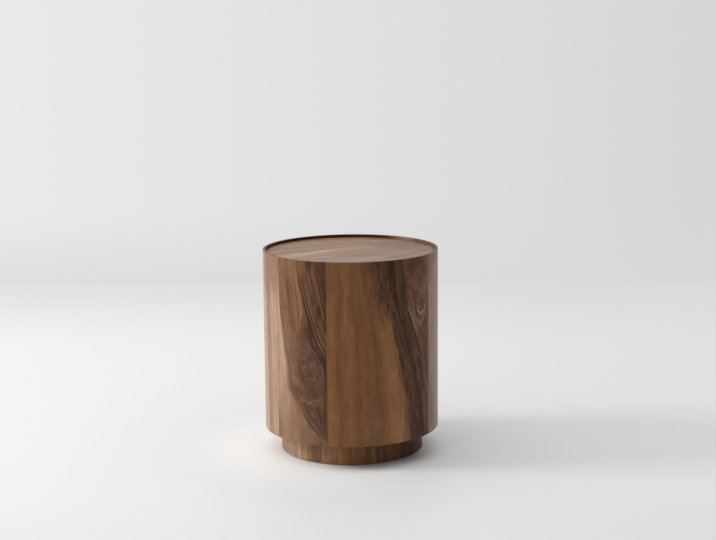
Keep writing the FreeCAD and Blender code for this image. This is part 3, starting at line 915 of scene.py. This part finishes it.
# Table top: four leaves of one flitch, so the figure carries across the seams
topLeaves = {
    "leaves": 4, "radius": 218.0 * mm, "seam": 0.06 * mm, "ease": 0.15 * mm, "specular": 0.33, "gain": 1.1,
    "low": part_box("top_veneer_leaf_1")[0].z, "high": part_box("top_veneer_leaf_1")[1].z,
    "segments": 48, "sharp": 20.0, "least": 0.001 * mm,  # points nearer than this are one
    "seed": 5.6, "depths": (1.3, 1.4, 0.3, 0.35), "wander": 0.02, "feather": 0.014, "slant": 30.0,
    "crown": (0.04, -0.02, 0.3), "crownSoft": 0.05,
    "tones": stops(
        "-230 redBrown, -190 honey, -150 brown, -122 tan, -100 redBrown, -80 honey, -62 brown, -45 tan, "
        "-28 honey, -12 gold, 6 tan, 20 gold, 30 tan, 40 gold, 50 brown, 62 mauve, 76 brown, 92 tan, "
        "106 redBrown, 122 brown, 150 honey, 170 redBrown, 190 honey, 230 redBrown"
    ),
    "patches": [
        ((-100, -100, 110, 80), "greyTan", 0.6), ((120, 95, 110, 62), "olive", 0.75),
        ((105, 185, 60, 28), "redBrown", 0.6), ((-140, 80, 100, 80), "mauve", 0.35),
        ((90, -60, 90, 60), "mauve", 0.3), ((70, 60, 28, 50), "olive", 0.35),
        ((10, -140, 140, 60), "greyTan", 0.8), ((165, 20, 75, 50), "olive", 0.5),
        ((130, -65, 85, 50), "greyMauve", 0.5),
    ],
    "streaks": [
        ([(-185, -105), (-150, -80), (-100, -42), (-60, -8), (-15, 26)], 24.0, "cream", 0.75),
        ([(-200, -20), (-140, 20), (-80, 52), (-20, 78)], 16.0, "plum", 0.4),
        ([(-190, 45), (-130, 84), (-70, 112), (0, 140)], 14.0, "rose", 0.5),
        ([(40, 140), (90, 148), (150, 140)], 12.0, "greyTan", 0.6),
    ],
}


# A soft crown on a slant across the whole top
def topFigure(w, across, along, leaf):
    turn = math.radians(leaf["slant"])
    way = w.plus(w.times(along, math.cos(turn)), w.times(across, math.sin(turn)))
    side = w.minus(w.times(across, math.cos(turn)), w.times(along, math.sin(turn)))
    middle, apex, tilt = leaf["crown"]
    bend = w.times(w.math("MAXIMUM", w.minus(way, apex), 0.0), tilt)
    offset = w.minus(side, middle)
    rings = w.plus(side, w.times(w.math("SIGN", offset), bend))
    rings = w.lerp(w.smooth(w.math("ABSOLUTE", offset), 0.0, leaf["crownSoft"]), side, rings)
    tone = w.ramp(feathered(w, rings, way, leaf), leaf["tones"])
    tone = patched(w, tone, along, across, leaf["patches"])
    return streaked(w, tone, across, along, leaf["streaks"]), rings


def stripOutline(radius, low, high):
    # strip of a disc between two straight seams, anticlockwise
    def arc(start, end):
        count = topLeaves["segments"]
        return [start + (end - start) * step / count for step in range(count + 1)]

    lowAngle = math.asin(max(-1.0, low / radius))
    highAngle = math.asin(min(1.0, high / radius))
    kept = []
    for turn in arc(lowAngle, highAngle) + arc(math.pi - highAngle, math.pi - lowAngle):
        point = Vector((radius * math.cos(turn), radius * math.sin(turn)))
        if not kept or (point - kept[-1]).length > topLeaves["least"]:
            kept.append(point)
    if (kept[0] - kept[-1]).length < topLeaves["least"]:
        kept.pop()
    return kept


def makeTop():
    material = flatWalnut("topWalnut", topLeaves)
    radius, bottom, top = topLeaves["radius"], topLeaves["low"], topLeaves["high"]
    for number in range(1, topLeaves["leaves"] + 1):
        node = "top_veneer_leaf_%d" % number
        low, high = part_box(node)
        front = max(low.y, -radius) + topLeaves["seam"] / 2
        back = min(high.y, radius) - topLeaves["seam"] / 2
        bm = bmesh.new()
        base = bm.faces.new([bm.verts.new((p.x, p.y, bottom)) for p in stripOutline(radius, front, back)])
        grown = bmesh.ops.extrude_face_region(bm, geom=[base])
        for vert in (item for item in grown["geom"] if isinstance(item, bmesh.types.BMVert)):
            vert.co.z = top
        rimEdges = [edge for edge in bm.edges if all(v.co.z > top - topLeaves["least"] for v in edge.verts)]
        bmesh.ops.bevel(bm, geom=rimEdges, offset=topLeaves["ease"], segments=1, affect="EDGES")
        newPiece("top_leaf_%d" % number, bm, material, stands=(node,), sharp=topLeaves["sharp"])
    print("table top:", topLeaves["leaves"], "leaves")


makeTop()

# Plinth
plinth = {
    "radius": 184.0 * mm, "core": 183.4 * mm, "inner": 174.15 * mm, "ease": 0.25 * mm, "seam": 0.12 * mm,
    "grain": {"wander": 0.008, "feather": 0.012, "lean": 0.03, "depths": (0.7, 1.4, 0.3, 0.35)},
    "footSeed": 66.2,
    "low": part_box("plinth_veneer_leaf_1")[0].z, "high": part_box("plinth_veneer_leaf_1")[1].z,
}
plinthLeaves = {
    "plinth_veneer_leaf_1": {
        "from": -38.0, "width": 68.4, "seed": 44.2,
        "tones": stops(
            "0 tan, 8 honey, 14 mauve, 22 greyMauve, 31 mauve, 40 greyTan, 47 flame, 52 flame, 60 tan, "
            "68 flame, 76 tan, 84 tan, 92 brown, 100 honey, 110 redBrown, 122 brown, 136 redBrown, "
            "146 redBrown, 156 plum, 168 redBrown, 178 chocolate, 190 plum, 200 chocolate, 212 plum, "
            "225 chocolate"
        ),
    },
    "plinth_veneer_leaf_2": {
        "from": 30.4, "width": 50.4, "seed": 47.9, "specular": 0.07,
        "tones": stops(
            "0 plum, 14 chocolate, 26 plum, 40 dark, 52 chocolate, 64 dark, 78 dark, 92 chocolate, 104 dark, "
            "120 olive, 140 dark, 165 plum"
        ),
    },
    "plinth_veneer_leaf_3": {
        "from": 80.8, "width": 64.8, "seed": 51.4,
        "tones": stops("0 redBrown, 60 brown, 110 honey, 160 redBrown, 210 brown"),
    },
    "plinth_veneer_leaf_4": {
        "from": 145.6, "width": 57.6, "seed": 55.5,
        "tones": stops("0 brown, 50 honey, 90 redBrown, 140 brown, 190 plum"),
    },
    "plinth_veneer_leaf_5": {
        "from": 203.2, "width": 54.0, "seed": 58.1,
        "tones": stops("0 plum, 50 redBrown, 100 brown, 140 honey, 180 brown"),
    },
    "plinth_veneer_leaf_6": {
        "from": 257.2, "width": 64.8, "seed": 62.6,
        "tones": stops(
            "0 honey, 60 tan, 110 paleTan, 140 cream, 158 paleTan, 172 sapwood, 184 paleTan, 196 sapwood, "
            "210 paleTan"
        ),
    },
}


def makePlinth():
    radius, core = plinth["radius"], plinth["core"]
    outline = wallOutline(core, radius, plinth["low"], plinth["high"], {"outerLow": plinth["ease"]})
    for node, leaf in plinthLeaves.items():
        leaf.update(plinth["grain"], figure=stripeFigure, start=math.radians(leaf["from"]) * radius)
        material = wallWalnut(node.replace("plinth_veneer", "plinthWalnut"), radius, leaf)
        wall = sweepWall(outline, leaf["from"], leaf["width"], plinth["seam"])
        newPiece(node.replace("veneer_leaf", "leaf"), wall, material, stands=(node,))
    material = roundWalnut("plinthFootWalnut", radius, plinth["footSeed"], edging["rimTones"])
    makeRing("plinth_foot_edge", "plinth_foot_lipping", plinth["inner"], core, material)
    print("plinth:", len(plinthLeaves), "leaves and its foot edge")


makePlinth()

# Plain timbers of the carcass; the grain runs along one axis, ply shows its plies on its edges
timbers = {
    "birchPly": {
        "along": 0, "light": (0.72, 0.57, 0.41), "deep": (0.6, 0.44, 0.29), "line": (0.5, 0.35, 0.22),
        "depths": (0.12, 0.2, 0.25, 0.12), "seed": 71.0, "plyPitch": 1.5 * mm, "roughness": 0.6,
    },
    "bendingPly": {
        "along": 2, "light": (0.7, 0.54, 0.38), "deep": (0.58, 0.42, 0.27), "line": (0.5, 0.35, 0.22),
        "depths": (0.15, 0.3, 0.25, 0.2), "seed": 73.0, "plyPitch": 1.0 * mm, "bent": True, "roughness": 0.62,
    },
    "pine": {
        "along": 2, "light": (0.78, 0.62, 0.4), "deep": (0.68, 0.48, 0.27), "line": (0.5, 0.28, 0.12),
        "depths": (0.15, 0.2, 0.55, 0.05), "seed": 75.0, "roughness": 0.62,
    },
    "beech": {
        "along": 2, "light": (0.74, 0.56, 0.4), "deep": (0.62, 0.43, 0.29), "line": (0.45, 0.28, 0.17),
        "depths": (0.12, 0.22, 0.2, 0.3), "seed": 79.0, "roughness": 0.55,
    },
    "backing": {
        "along": 0, "light": (0.46, 0.31, 0.2), "deep": (0.36, 0.22, 0.13), "line": (0.25, 0.14, 0.08),
        "depths": (0.3, 0.4, 0.3, 0.3), "seed": 83.0, "roughness": 0.58,
    },
}
timberGrain = {
    "wander": 0.03, "depthShare": 0.6,  # how far the rings lean through the piece
    "flat": (0.4, 0.6), "plyLine": (0.22, 0.28), "bumpStrength": 0.3, "bumpDepth": 0.2 * mm,
}


def timber(name):
    values = timbers[name]
    material, w, skin = newMaterial(name)
    place = w.here()
    along, seed = place[values["along"]], values["seed"]
    across, depth = (place[axis] for axis in range(3) if axis != values["along"])
    bent = wandered(w, across, along, seed, timberGrain["wander"])
    rings = w.plus(bent, w.times(depth, timberGrain["depthShare"]))
    tone = w.blend(grainy(w, "timber", rings, along, seed), values["light"], values["deep"])
    if "plyPitch" in values:
        x, y, z = place
        level = w.math("ABSOLUTE", w.split(w.add("ShaderNodeNewGeometry").outputs["Normal"])[2])
        low, high = timberGrain["flat"]
        if values.get("bent"):
            through, edge = w.length(x, y), w.smooth(level, low, high)
        else:
            through, edge = z, w.smooth(level, high, low)
        phase = w.math("FRACT", w.times(through, 0.5 / values["plyPitch"]))  # every other ply is darker
        plies = w.times(w.smooth(w.apart(phase, 0.5), *timberGrain["plyLine"]), edge)
        tone = w.blend(plies, tone, values["line"])
    grain = placeGrain(w, tone, values["line"], rings, across, along, seed, values["depths"])
    w.plug(grain["Colour"], skin.inputs["Base Color"])
    w.plug(w.plus(grain["Roughness"], values["roughness"] - grainMix["roughness"]), skin.inputs["Roughness"])
    addBump(w, skin, grain["Relief"], timberGrain["bumpStrength"], timberGrain["bumpDepth"])
    return material


# Levellers and tee nuts; sizes in mm, profiles as (height, radius)
hardware = {
    "zincPlate": {
        "tones": ((0.62, 0.63, 0.64), (0.5, 0.51, 0.5)), "metallic": 1.0, "scale": 260.0, "stretch": 0.6,
        "gloss": (0.3, 0.7, 0.27, 0.44), "bump": (0.12, 0.05 * mm),
    },
    "blackNylon": {
        "tones": ((0.03, 0.03, 0.033), (0.055, 0.055, 0.058)), "metallic": 0.0, "scale": 180.0,
        "stretch": 1.0, "worn": (0.5, 0.75), "gloss": (0.3, 0.7, 0.46, 0.6), "bump": (0.35, 0.08 * mm),
    },
    "cloud": (4.0, 0.6), "speckScale": 9.0, "speckDetail": 2.0,
    "sides": ("front", "right", "rear", "left"), "segments": 48, "nutSegments": 96, "sharp": 32.0,
    # stem: head in the pad and neck from the foot up, hexagon, thread
    "stemFoot": [(0.05, 6.1), (0.4, 6.5), (2.6, 6.5), (3.0, 6.1), (3.0, 4.0), (6.9, 4.0)],
    "hexLow": 6.9, "hexHigh": 10.9, "hexFlat": 6.5, "hexCorner": 7.5, "hexFace": 6.6, "hexEase": 0.45,
    "pitch": 1.25, "crest": 3.95, "root": 3.25, "tooth": (1.25, 2.9), "turnRows": 8, "runOut": 0.4,
    "tip": 1.0, "tipEase": 0.3,
    # pad: grooved sole and side from the foot up, top from the upper end down, socket from the foot up
    "padSole": [
        (0.35, 4.0), (0.35, 9.0), (0.0, 9.4), (0.0, 10.8), (0.35, 11.2), (0.35, 12.8), (0.0, 13.2),
        (0.0, 15.1), (0.27, 15.7), (1.0, 16.0), (3.0, 16.0), (3.15, 15.85),
    ],
    "padTop": [(-1.1, 11.6), (-0.4, 11.0), (0.0, 10.2), (0.0, 4.6), (-0.3, 4.3)],
    "padSocket": [(5.7, 4.3), (5.7, 6.8), (2.4, 6.8), (2.4, 1.0)],
    # tee nut: flange with four notches, then the barrel
    "nutBore": 4.0, "nutFlange": 11.0, "nutThick": 1.5, "nutEase": 0.3,
    "notchDeep": 3.0, "notchHalf": 0.2, "notchFade": 0.08,  # the last two in radians
    "nutBarrel": [(1.5, 5.1), (1.7, 4.9)], "nutTop": [(-0.2, 4.9), (0.0, 4.7), (0.0, 4.0)],
}


# Fine unevenness for metal and plastic
def buildFinish():
    w, takes, gives = newGroup("finishGrain", ("Scale", "Stretch"), ("Cloud", "Speck"))
    x, y, z = (w.times(part, takes["Scale"]) for part in w.here())
    z = w.times(z, takes["Stretch"])
    w.plug(w.noise(x, y, z, *hardware["cloud"]), gives["Cloud"])
    fine = [w.times(part, hardware["speckScale"]) for part in (x, y, z)]
    w.plug(w.noise(*fine, hardware["speckDetail"]), gives["Speck"])
    return w.tree


finishGrain = buildFinish()


def hardMaterial(name):
    values = hardware[name]
    material, w, skin = newMaterial(name)
    grain = w.place(finishGrain, Scale=values["scale"], Stretch=values["stretch"])
    worn = w.smooth(grain["Cloud"], *values["worn"]) if "worn" in values else grain["Cloud"]
    w.plug(w.blend(worn, *values["tones"]), skin.inputs["Base Color"])
    skin.inputs["Metallic"].default_value = values["metallic"]
    w.plug(w.smooth(grain["Cloud"], *values["gloss"]), skin.inputs["Roughness"])
    addBump(w, skin, grain["Speck"], *values["bump"])
    return material


# Joins rings of points, each (height, radius or radius by angle) in mm, into a skin
def loftRings(rings, centre, closed, count):
    bm = bmesh.new()
    loops = []
    for height, radius in rings:
        loop = []
        for step in range(count):
            turn = 2 * math.pi * step / count
            r = radius(turn) if callable(radius) else radius
            place = (centre.x + r * mm * math.cos(turn), centre.y + r * mm * math.sin(turn), height * mm)
            loop.append(bm.verts.new(place))
        loops.append(loop)
    pairs = list(zip(loops, loops[1:]))
    if closed:
        pairs.append((loops[-1], loops[0]))
    else:
        bm.faces.new(list(reversed(loops[0])))
        bm.faces.new(loops[-1])
    for lower, upper in pairs:
        for step in range(count):
            follow = (step + 1) % count
            bm.faces.new((lower[step], lower[follow], upper[follow], upper[step]))
    return bm


def risen(base, profile):
    return [(base + height, radius) for height, radius in profile]


def stemRings(low, high):
    pitch, crest, root = hardware["pitch"], hardware["crest"], hardware["root"]
    face, ease = hardware["hexFace"], hardware["hexEase"]
    hexLow, hexHigh = low + hardware["hexLow"], low + hardware["hexHigh"]
    threadLow = hexHigh + hardware["runOut"]

    def nut(turn):
        flat = hardware["hexFlat"] / math.cos(turn % (math.pi / 3) - math.pi / 6)
        return min(hardware["hexCorner"], flat)

    def thread(height):
        def radius(turn):
            phase = (height / pitch - turn / (2 * math.pi)) % 1.0
            top, slope = hardware["tooth"]
            return root + (crest - root) * min(1.0, max(0.0, top - slope * abs(phase - 0.5)))
        return radius

    rings = risen(low, hardware["stemFoot"])
    rings += [(hexLow, face), (hexLow + ease, nut), (hexHigh - ease, nut), (hexHigh, face), (hexHigh, root)]
    rows = int((high - hardware["tip"] - threadLow) / pitch * hardware["turnRows"])
    for row in range(rows + 1):
        height = threadLow + row * pitch / hardware["turnRows"]
        rings.append((height, thread(height)))
    return rings + [(high, root - hardware["tipEase"])]


def padRings(low, high):
    sole, socket = risen(low, hardware["padSole"]), risen(low, hardware["padSocket"])
    return sole + risen(high, hardware["padTop"]) + socket


def teeNutRings(low, high):
    bore, ease, thick = hardware["nutBore"], hardware["nutEase"], hardware["nutThick"]

    def flange(turn):
        # four notches where the prongs were bent up
        away = abs((turn + math.pi / 4) % (math.pi / 2) - math.pi / 4)
        notch = min(1.0, max(0.0, (hardware["notchHalf"] - away) / hardware["notchFade"]))
        return hardware["nutFlange"] - hardware["notchDeep"] * notch

    rings = [(low + ease, bore), (low, bore + ease), (low, lambda turn: flange(turn) - ease)]
    rings += [(low + ease, flange), (low + thick, flange)]
    return rings + risen(low, hardware["nutBarrel"]) + risen(high, hardware["nutTop"])


def makeLevellers():
    zinc, nylon = hardMaterial("zincPlate"), hardMaterial("blackNylon")
    kinds = (("stem", stemRings, zinc, "zinc_plated_steel"), ("pad", padRings, nylon, "black_nylon"))
    nutLow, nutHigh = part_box("leveller_tee_nuts")
    nuts = bmesh.new()
    for side in hardware["sides"]:
        for kind, rings, material, slotName in kinds:
            node, name = "leveller_%s_%s" % (kind, side), "%s_%s" % (kind, side)
            low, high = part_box(node)
            centre = (low + high) / 2
            bm = loftRings(rings(low.z / mm, high.z / mm), centre, False, hardware["segments"])
            newPiece(name, bm, material, name, (node,), hardware["sharp"])
            if kind == "stem":
                nutRings = teeNutRings(nutLow.z / mm, nutHigh.z / mm)
                part = loftRings(nutRings, centre, True, hardware["nutSegments"])
                mesh = bpy.data.meshes.new("teeNut")
                part.to_mesh(mesh)
                part.free()
                nuts.from_mesh(mesh)
                bpy.data.meshes.remove(mesh)
    newPiece("tee_nuts", nuts, zinc, "table", ("leveller_tee_nuts",), hardware["sharp"])
    return zinc


# Carcass pieces keep their CAD meshes
def dressCarcass(zinc):
    ply, bent, pine, beech, backing = (timber(name) for name in timbers)
    finishes = {
        "bottom_panel": ply, "middle_former_ring": ply, "top_former_ring": ply, "top_panel_core": ply,
        "drum_shell_front": bent, "drum_shell_rear": bent, "plinth_wall_front": bent,
        "plinth_wall_rear": bent,
        "top_backing_veneer": backing, "post_dowels": beech, "top_locating_dowels": beech,
        "block_screws": zinc,
    }
    for side in hardware["sides"]:
        finishes["post_" + side] = pine
        finishes["leveller_block_" + side] = pine
    for node, material in finishes.items():
        nodes[node].data.materials.clear()
        nodes[node].data.materials.append(material)
    print("levellers and", len(finishes), "carcass pieces dressed")


dressCarcass(makeLevellers())

# Stage: pale floor that ends far behind the table, with painted shade and painted light in its tone round the
# table, a soft room and one soft key light from the left
stage = {
    "floorTone": (0.755, 0.755, 0.753), "floorCloud": 1.3, "floorCloudLift": 1.015, "floorSeed": 4.0,
    "floorGloss": (0.3, 0.7, 0.5, 0.58), "floorSpecular": 0.3, "floorDrop": 0.05 * mm,
    "floorBack": 2.29, "floorTurn": 0.035, "floorReach": 12.0, "clearReach": 0.165,
    # painted shade and light on the floor: where each starts and ends, in metres, and the level there
    "floorBackPaintedShade": (1.1, 2.29, 0.905), "floorBackPaintedShadeSide": 0.035,
    "floorFrontPaintedShade": (-0.3, -1.0, 0.94), "floorRightPaintedShade": (0.0, 0.8, 0.95),
    "floorNearPaintedLight": (0.48, 0.19, 1.2), "floorNearPaintedLightSide": (0.3, -0.05),
    # painted contact shadow: radius where it starts and ends and its level, then where it comes in across and
    # towards the front
    "paintedContactShadow": (0.265, 0.181, 0.4), "paintedContactShadowSide": (-0.12, 0.06), "paintedContactShadowFront": (-0.02, -0.13),
    "wallFade": (-0.19, -0.13, 0.955), "wallSide": 0.3,
    "roomBack": 0.745, "roomFront": 0.56, "roomTurn": (-0.7, 0.55), "roomTop": 0.4, "roomRise": (0.2, 0.95),
    "roomSide": 0.34, "roomTone": (1.0, 1.0, 1.0),
    "keyFrom": (-5.5, -0.2, 3.3), "keyAt": (0.0, 0.0, 0.25), "keySize": 1.9, "keyWatts": 160.0,
}


def floorMaterial():
    material, w, skin = newMaterial("paleFloor")
    x, y, z = w.here()
    away = w.length(x, y)
    cloud = w.noise(w.times(x, stage["floorCloud"]), w.times(y, stage["floorCloud"]), stage["floorSeed"])
    lifted = tuple(part * stage["floorCloudLift"] for part in stage["floorTone"])
    tone = w.blend(cloud, stage["floorTone"], lifted)

    def paintedFloorLevel(value, name, level=None):
        start, end, usual = stage[name]
        return w.smooth(value, start, end, 1.0, usual if level is None else level)

    # painted shade in the floor's tone: darker near its back edge, towards the front and to the right
    paintedBackShadeLevel = w.plus(w.times(x, stage["floorBackPaintedShadeSide"]), stage["floorBackPaintedShade"][2])
    # painted light in the floor's tone: lighter round the table on its left
    paintedNearLightLevel = w.smooth(x, *stage["floorNearPaintedLightSide"], 1.0, stage["floorNearPaintedLight"][2])
    fade = w.times(paintedFloorLevel(y, "floorBackPaintedShade", paintedBackShadeLevel), paintedFloorLevel(y, "floorFrontPaintedShade"), paintedFloorLevel(x, "floorRightPaintedShade"))
    # painted contact shadow on the floor at the plinth's front right
    start, end, level = stage["paintedContactShadow"]
    share = w.times(w.smooth(x, *stage["paintedContactShadowSide"]), w.smooth(y, *stage["paintedContactShadowFront"]))
    share = w.times(share, w.smooth(away, start, end, 0.0, 1.0 - level))
    fade = w.times(fade, w.minus(1.0, share), paintedFloorLevel(away, "floorNearPaintedLight", paintedNearLightLevel))
    w.plug(w.scaled(tone, fade), skin.inputs["Base Color"])
    w.plug(w.smooth(cloud, *stage["floorGloss"]), skin.inputs["Roughness"])
    skin.inputs["Specular IOR Level"].default_value = stage["floorSpecular"]

    under = w.add("ShaderNodeMixShader")  # clear from below, and inside the plinth so light gets in there
    inside = w.math("LESS_THAN", away, stage["clearReach"])
    clear = w.math("MAXIMUM", w.add("ShaderNodeNewGeometry").outputs["Backfacing"], inside)
    w.fill(under.inputs, clear, skin.outputs[0], w.add("ShaderNodeBsdfTransparent").outputs[0])
    output = next(node for node in w.tree.nodes if node.bl_idname == "ShaderNodeOutputMaterial")
    w.plug(under.outputs[0], output.inputs["Surface"])
    return material


def makeFloor():
    bm = bmesh.new()
    reach, back = stage["floorReach"], stage["floorBack"]
    turn = stage["floorTurn"] * reach
    places = ((-reach, -reach), (reach, -reach), (reach, back - turn), (-reach, back + turn))
    bm.faces.new([bm.verts.new((x, y, -stage["floorDrop"])) for x, y in places])
    mesh = bpy.data.meshes.new("floor")
    bm.to_mesh(mesh)
    bm.free()
    mesh.materials.append(floorMaterial())
    floor = bpy.data.objects.new("floor", mesh)
    scene.collection.objects.link(floor)


def makeRoom():
    world = bpy.data.worlds.new("softRoom")
    world.use_nodes = True
    scene.world = world
    world.node_tree.nodes.clear()
    w = Wiring(world.node_tree)
    x, y, z = w.here("Generated")
    level = w.smooth(y, *stage["roomTurn"], stage["roomFront"], stage["roomBack"])
    level = w.minus(level, w.times(x, stage["roomSide"]))
    level = w.plus(level, w.smooth(z, *stage["roomRise"], 0.0, stage["roomTop"]))
    low, high, shade = stage["wallFade"]
    shade = w.plus(w.times(x, stage["wallSide"]), shade)
    level = w.times(level, w.smooth(z, low, high, shade, 1.0))
    light = w.add("ShaderNodeBackground")
    w.plug(w.scaled(stage["roomTone"], level), light.inputs["Color"])
    w.plug(light.outputs[0], w.add("ShaderNodeOutputWorld").inputs["Surface"])


def makeKey():
    lamp = bpy.data.lights.new("keyLight", "AREA")
    lamp.shape = "DISK"
    lamp.size = stage["keySize"]
    lamp.energy = stage["keyWatts"]
    key = bpy.data.objects.new("keyLight", lamp)
    key.location = stage["keyFrom"]
    toTable = Vector(stage["keyAt"]) - Vector(stage["keyFrom"])
    key.rotation_euler = toTable.to_track_quat("-Z", "Y").to_euler()
    key.visible_glossy = False  # no glare of the lamp on the lacquer
    scene.collection.objects.link(key)


# Camera fitted to the photograph's rim, foot and width
view = {
    "focalPixels": 1523.7, "imageWidth": 716, "sensor": 36.0, "back": 3.8682, "side": 0.0195,
    "height": 1.1614,
    "pitch": 10.187, "roll": -0.541,
}


def makeCamera():
    lens = bpy.data.cameras.new("camera")
    lens.sensor_width = view["sensor"]
    lens.lens = view["focalPixels"] * lens.sensor_width / view["imageWidth"]
    camera = bpy.data.objects.new("camera", lens)
    camera.location = (view["side"], -view["back"], view["height"])
    tilt = Matrix.Rotation(math.radians(90 - view["pitch"]), 3, "X")
    roll = Matrix.Rotation(math.radians(view["roll"]), 3, "Z")
    camera.rotation_euler = (tilt @ roll).to_euler()
    scene.collection.objects.link(camera)
    scene.camera = camera


scene.view_settings.view_transform = "Standard"
scene.view_settings.look = "None"
makeFloor()
makeRoom()
makeKey()
makeCamera()
print("stage, light and camera ready")
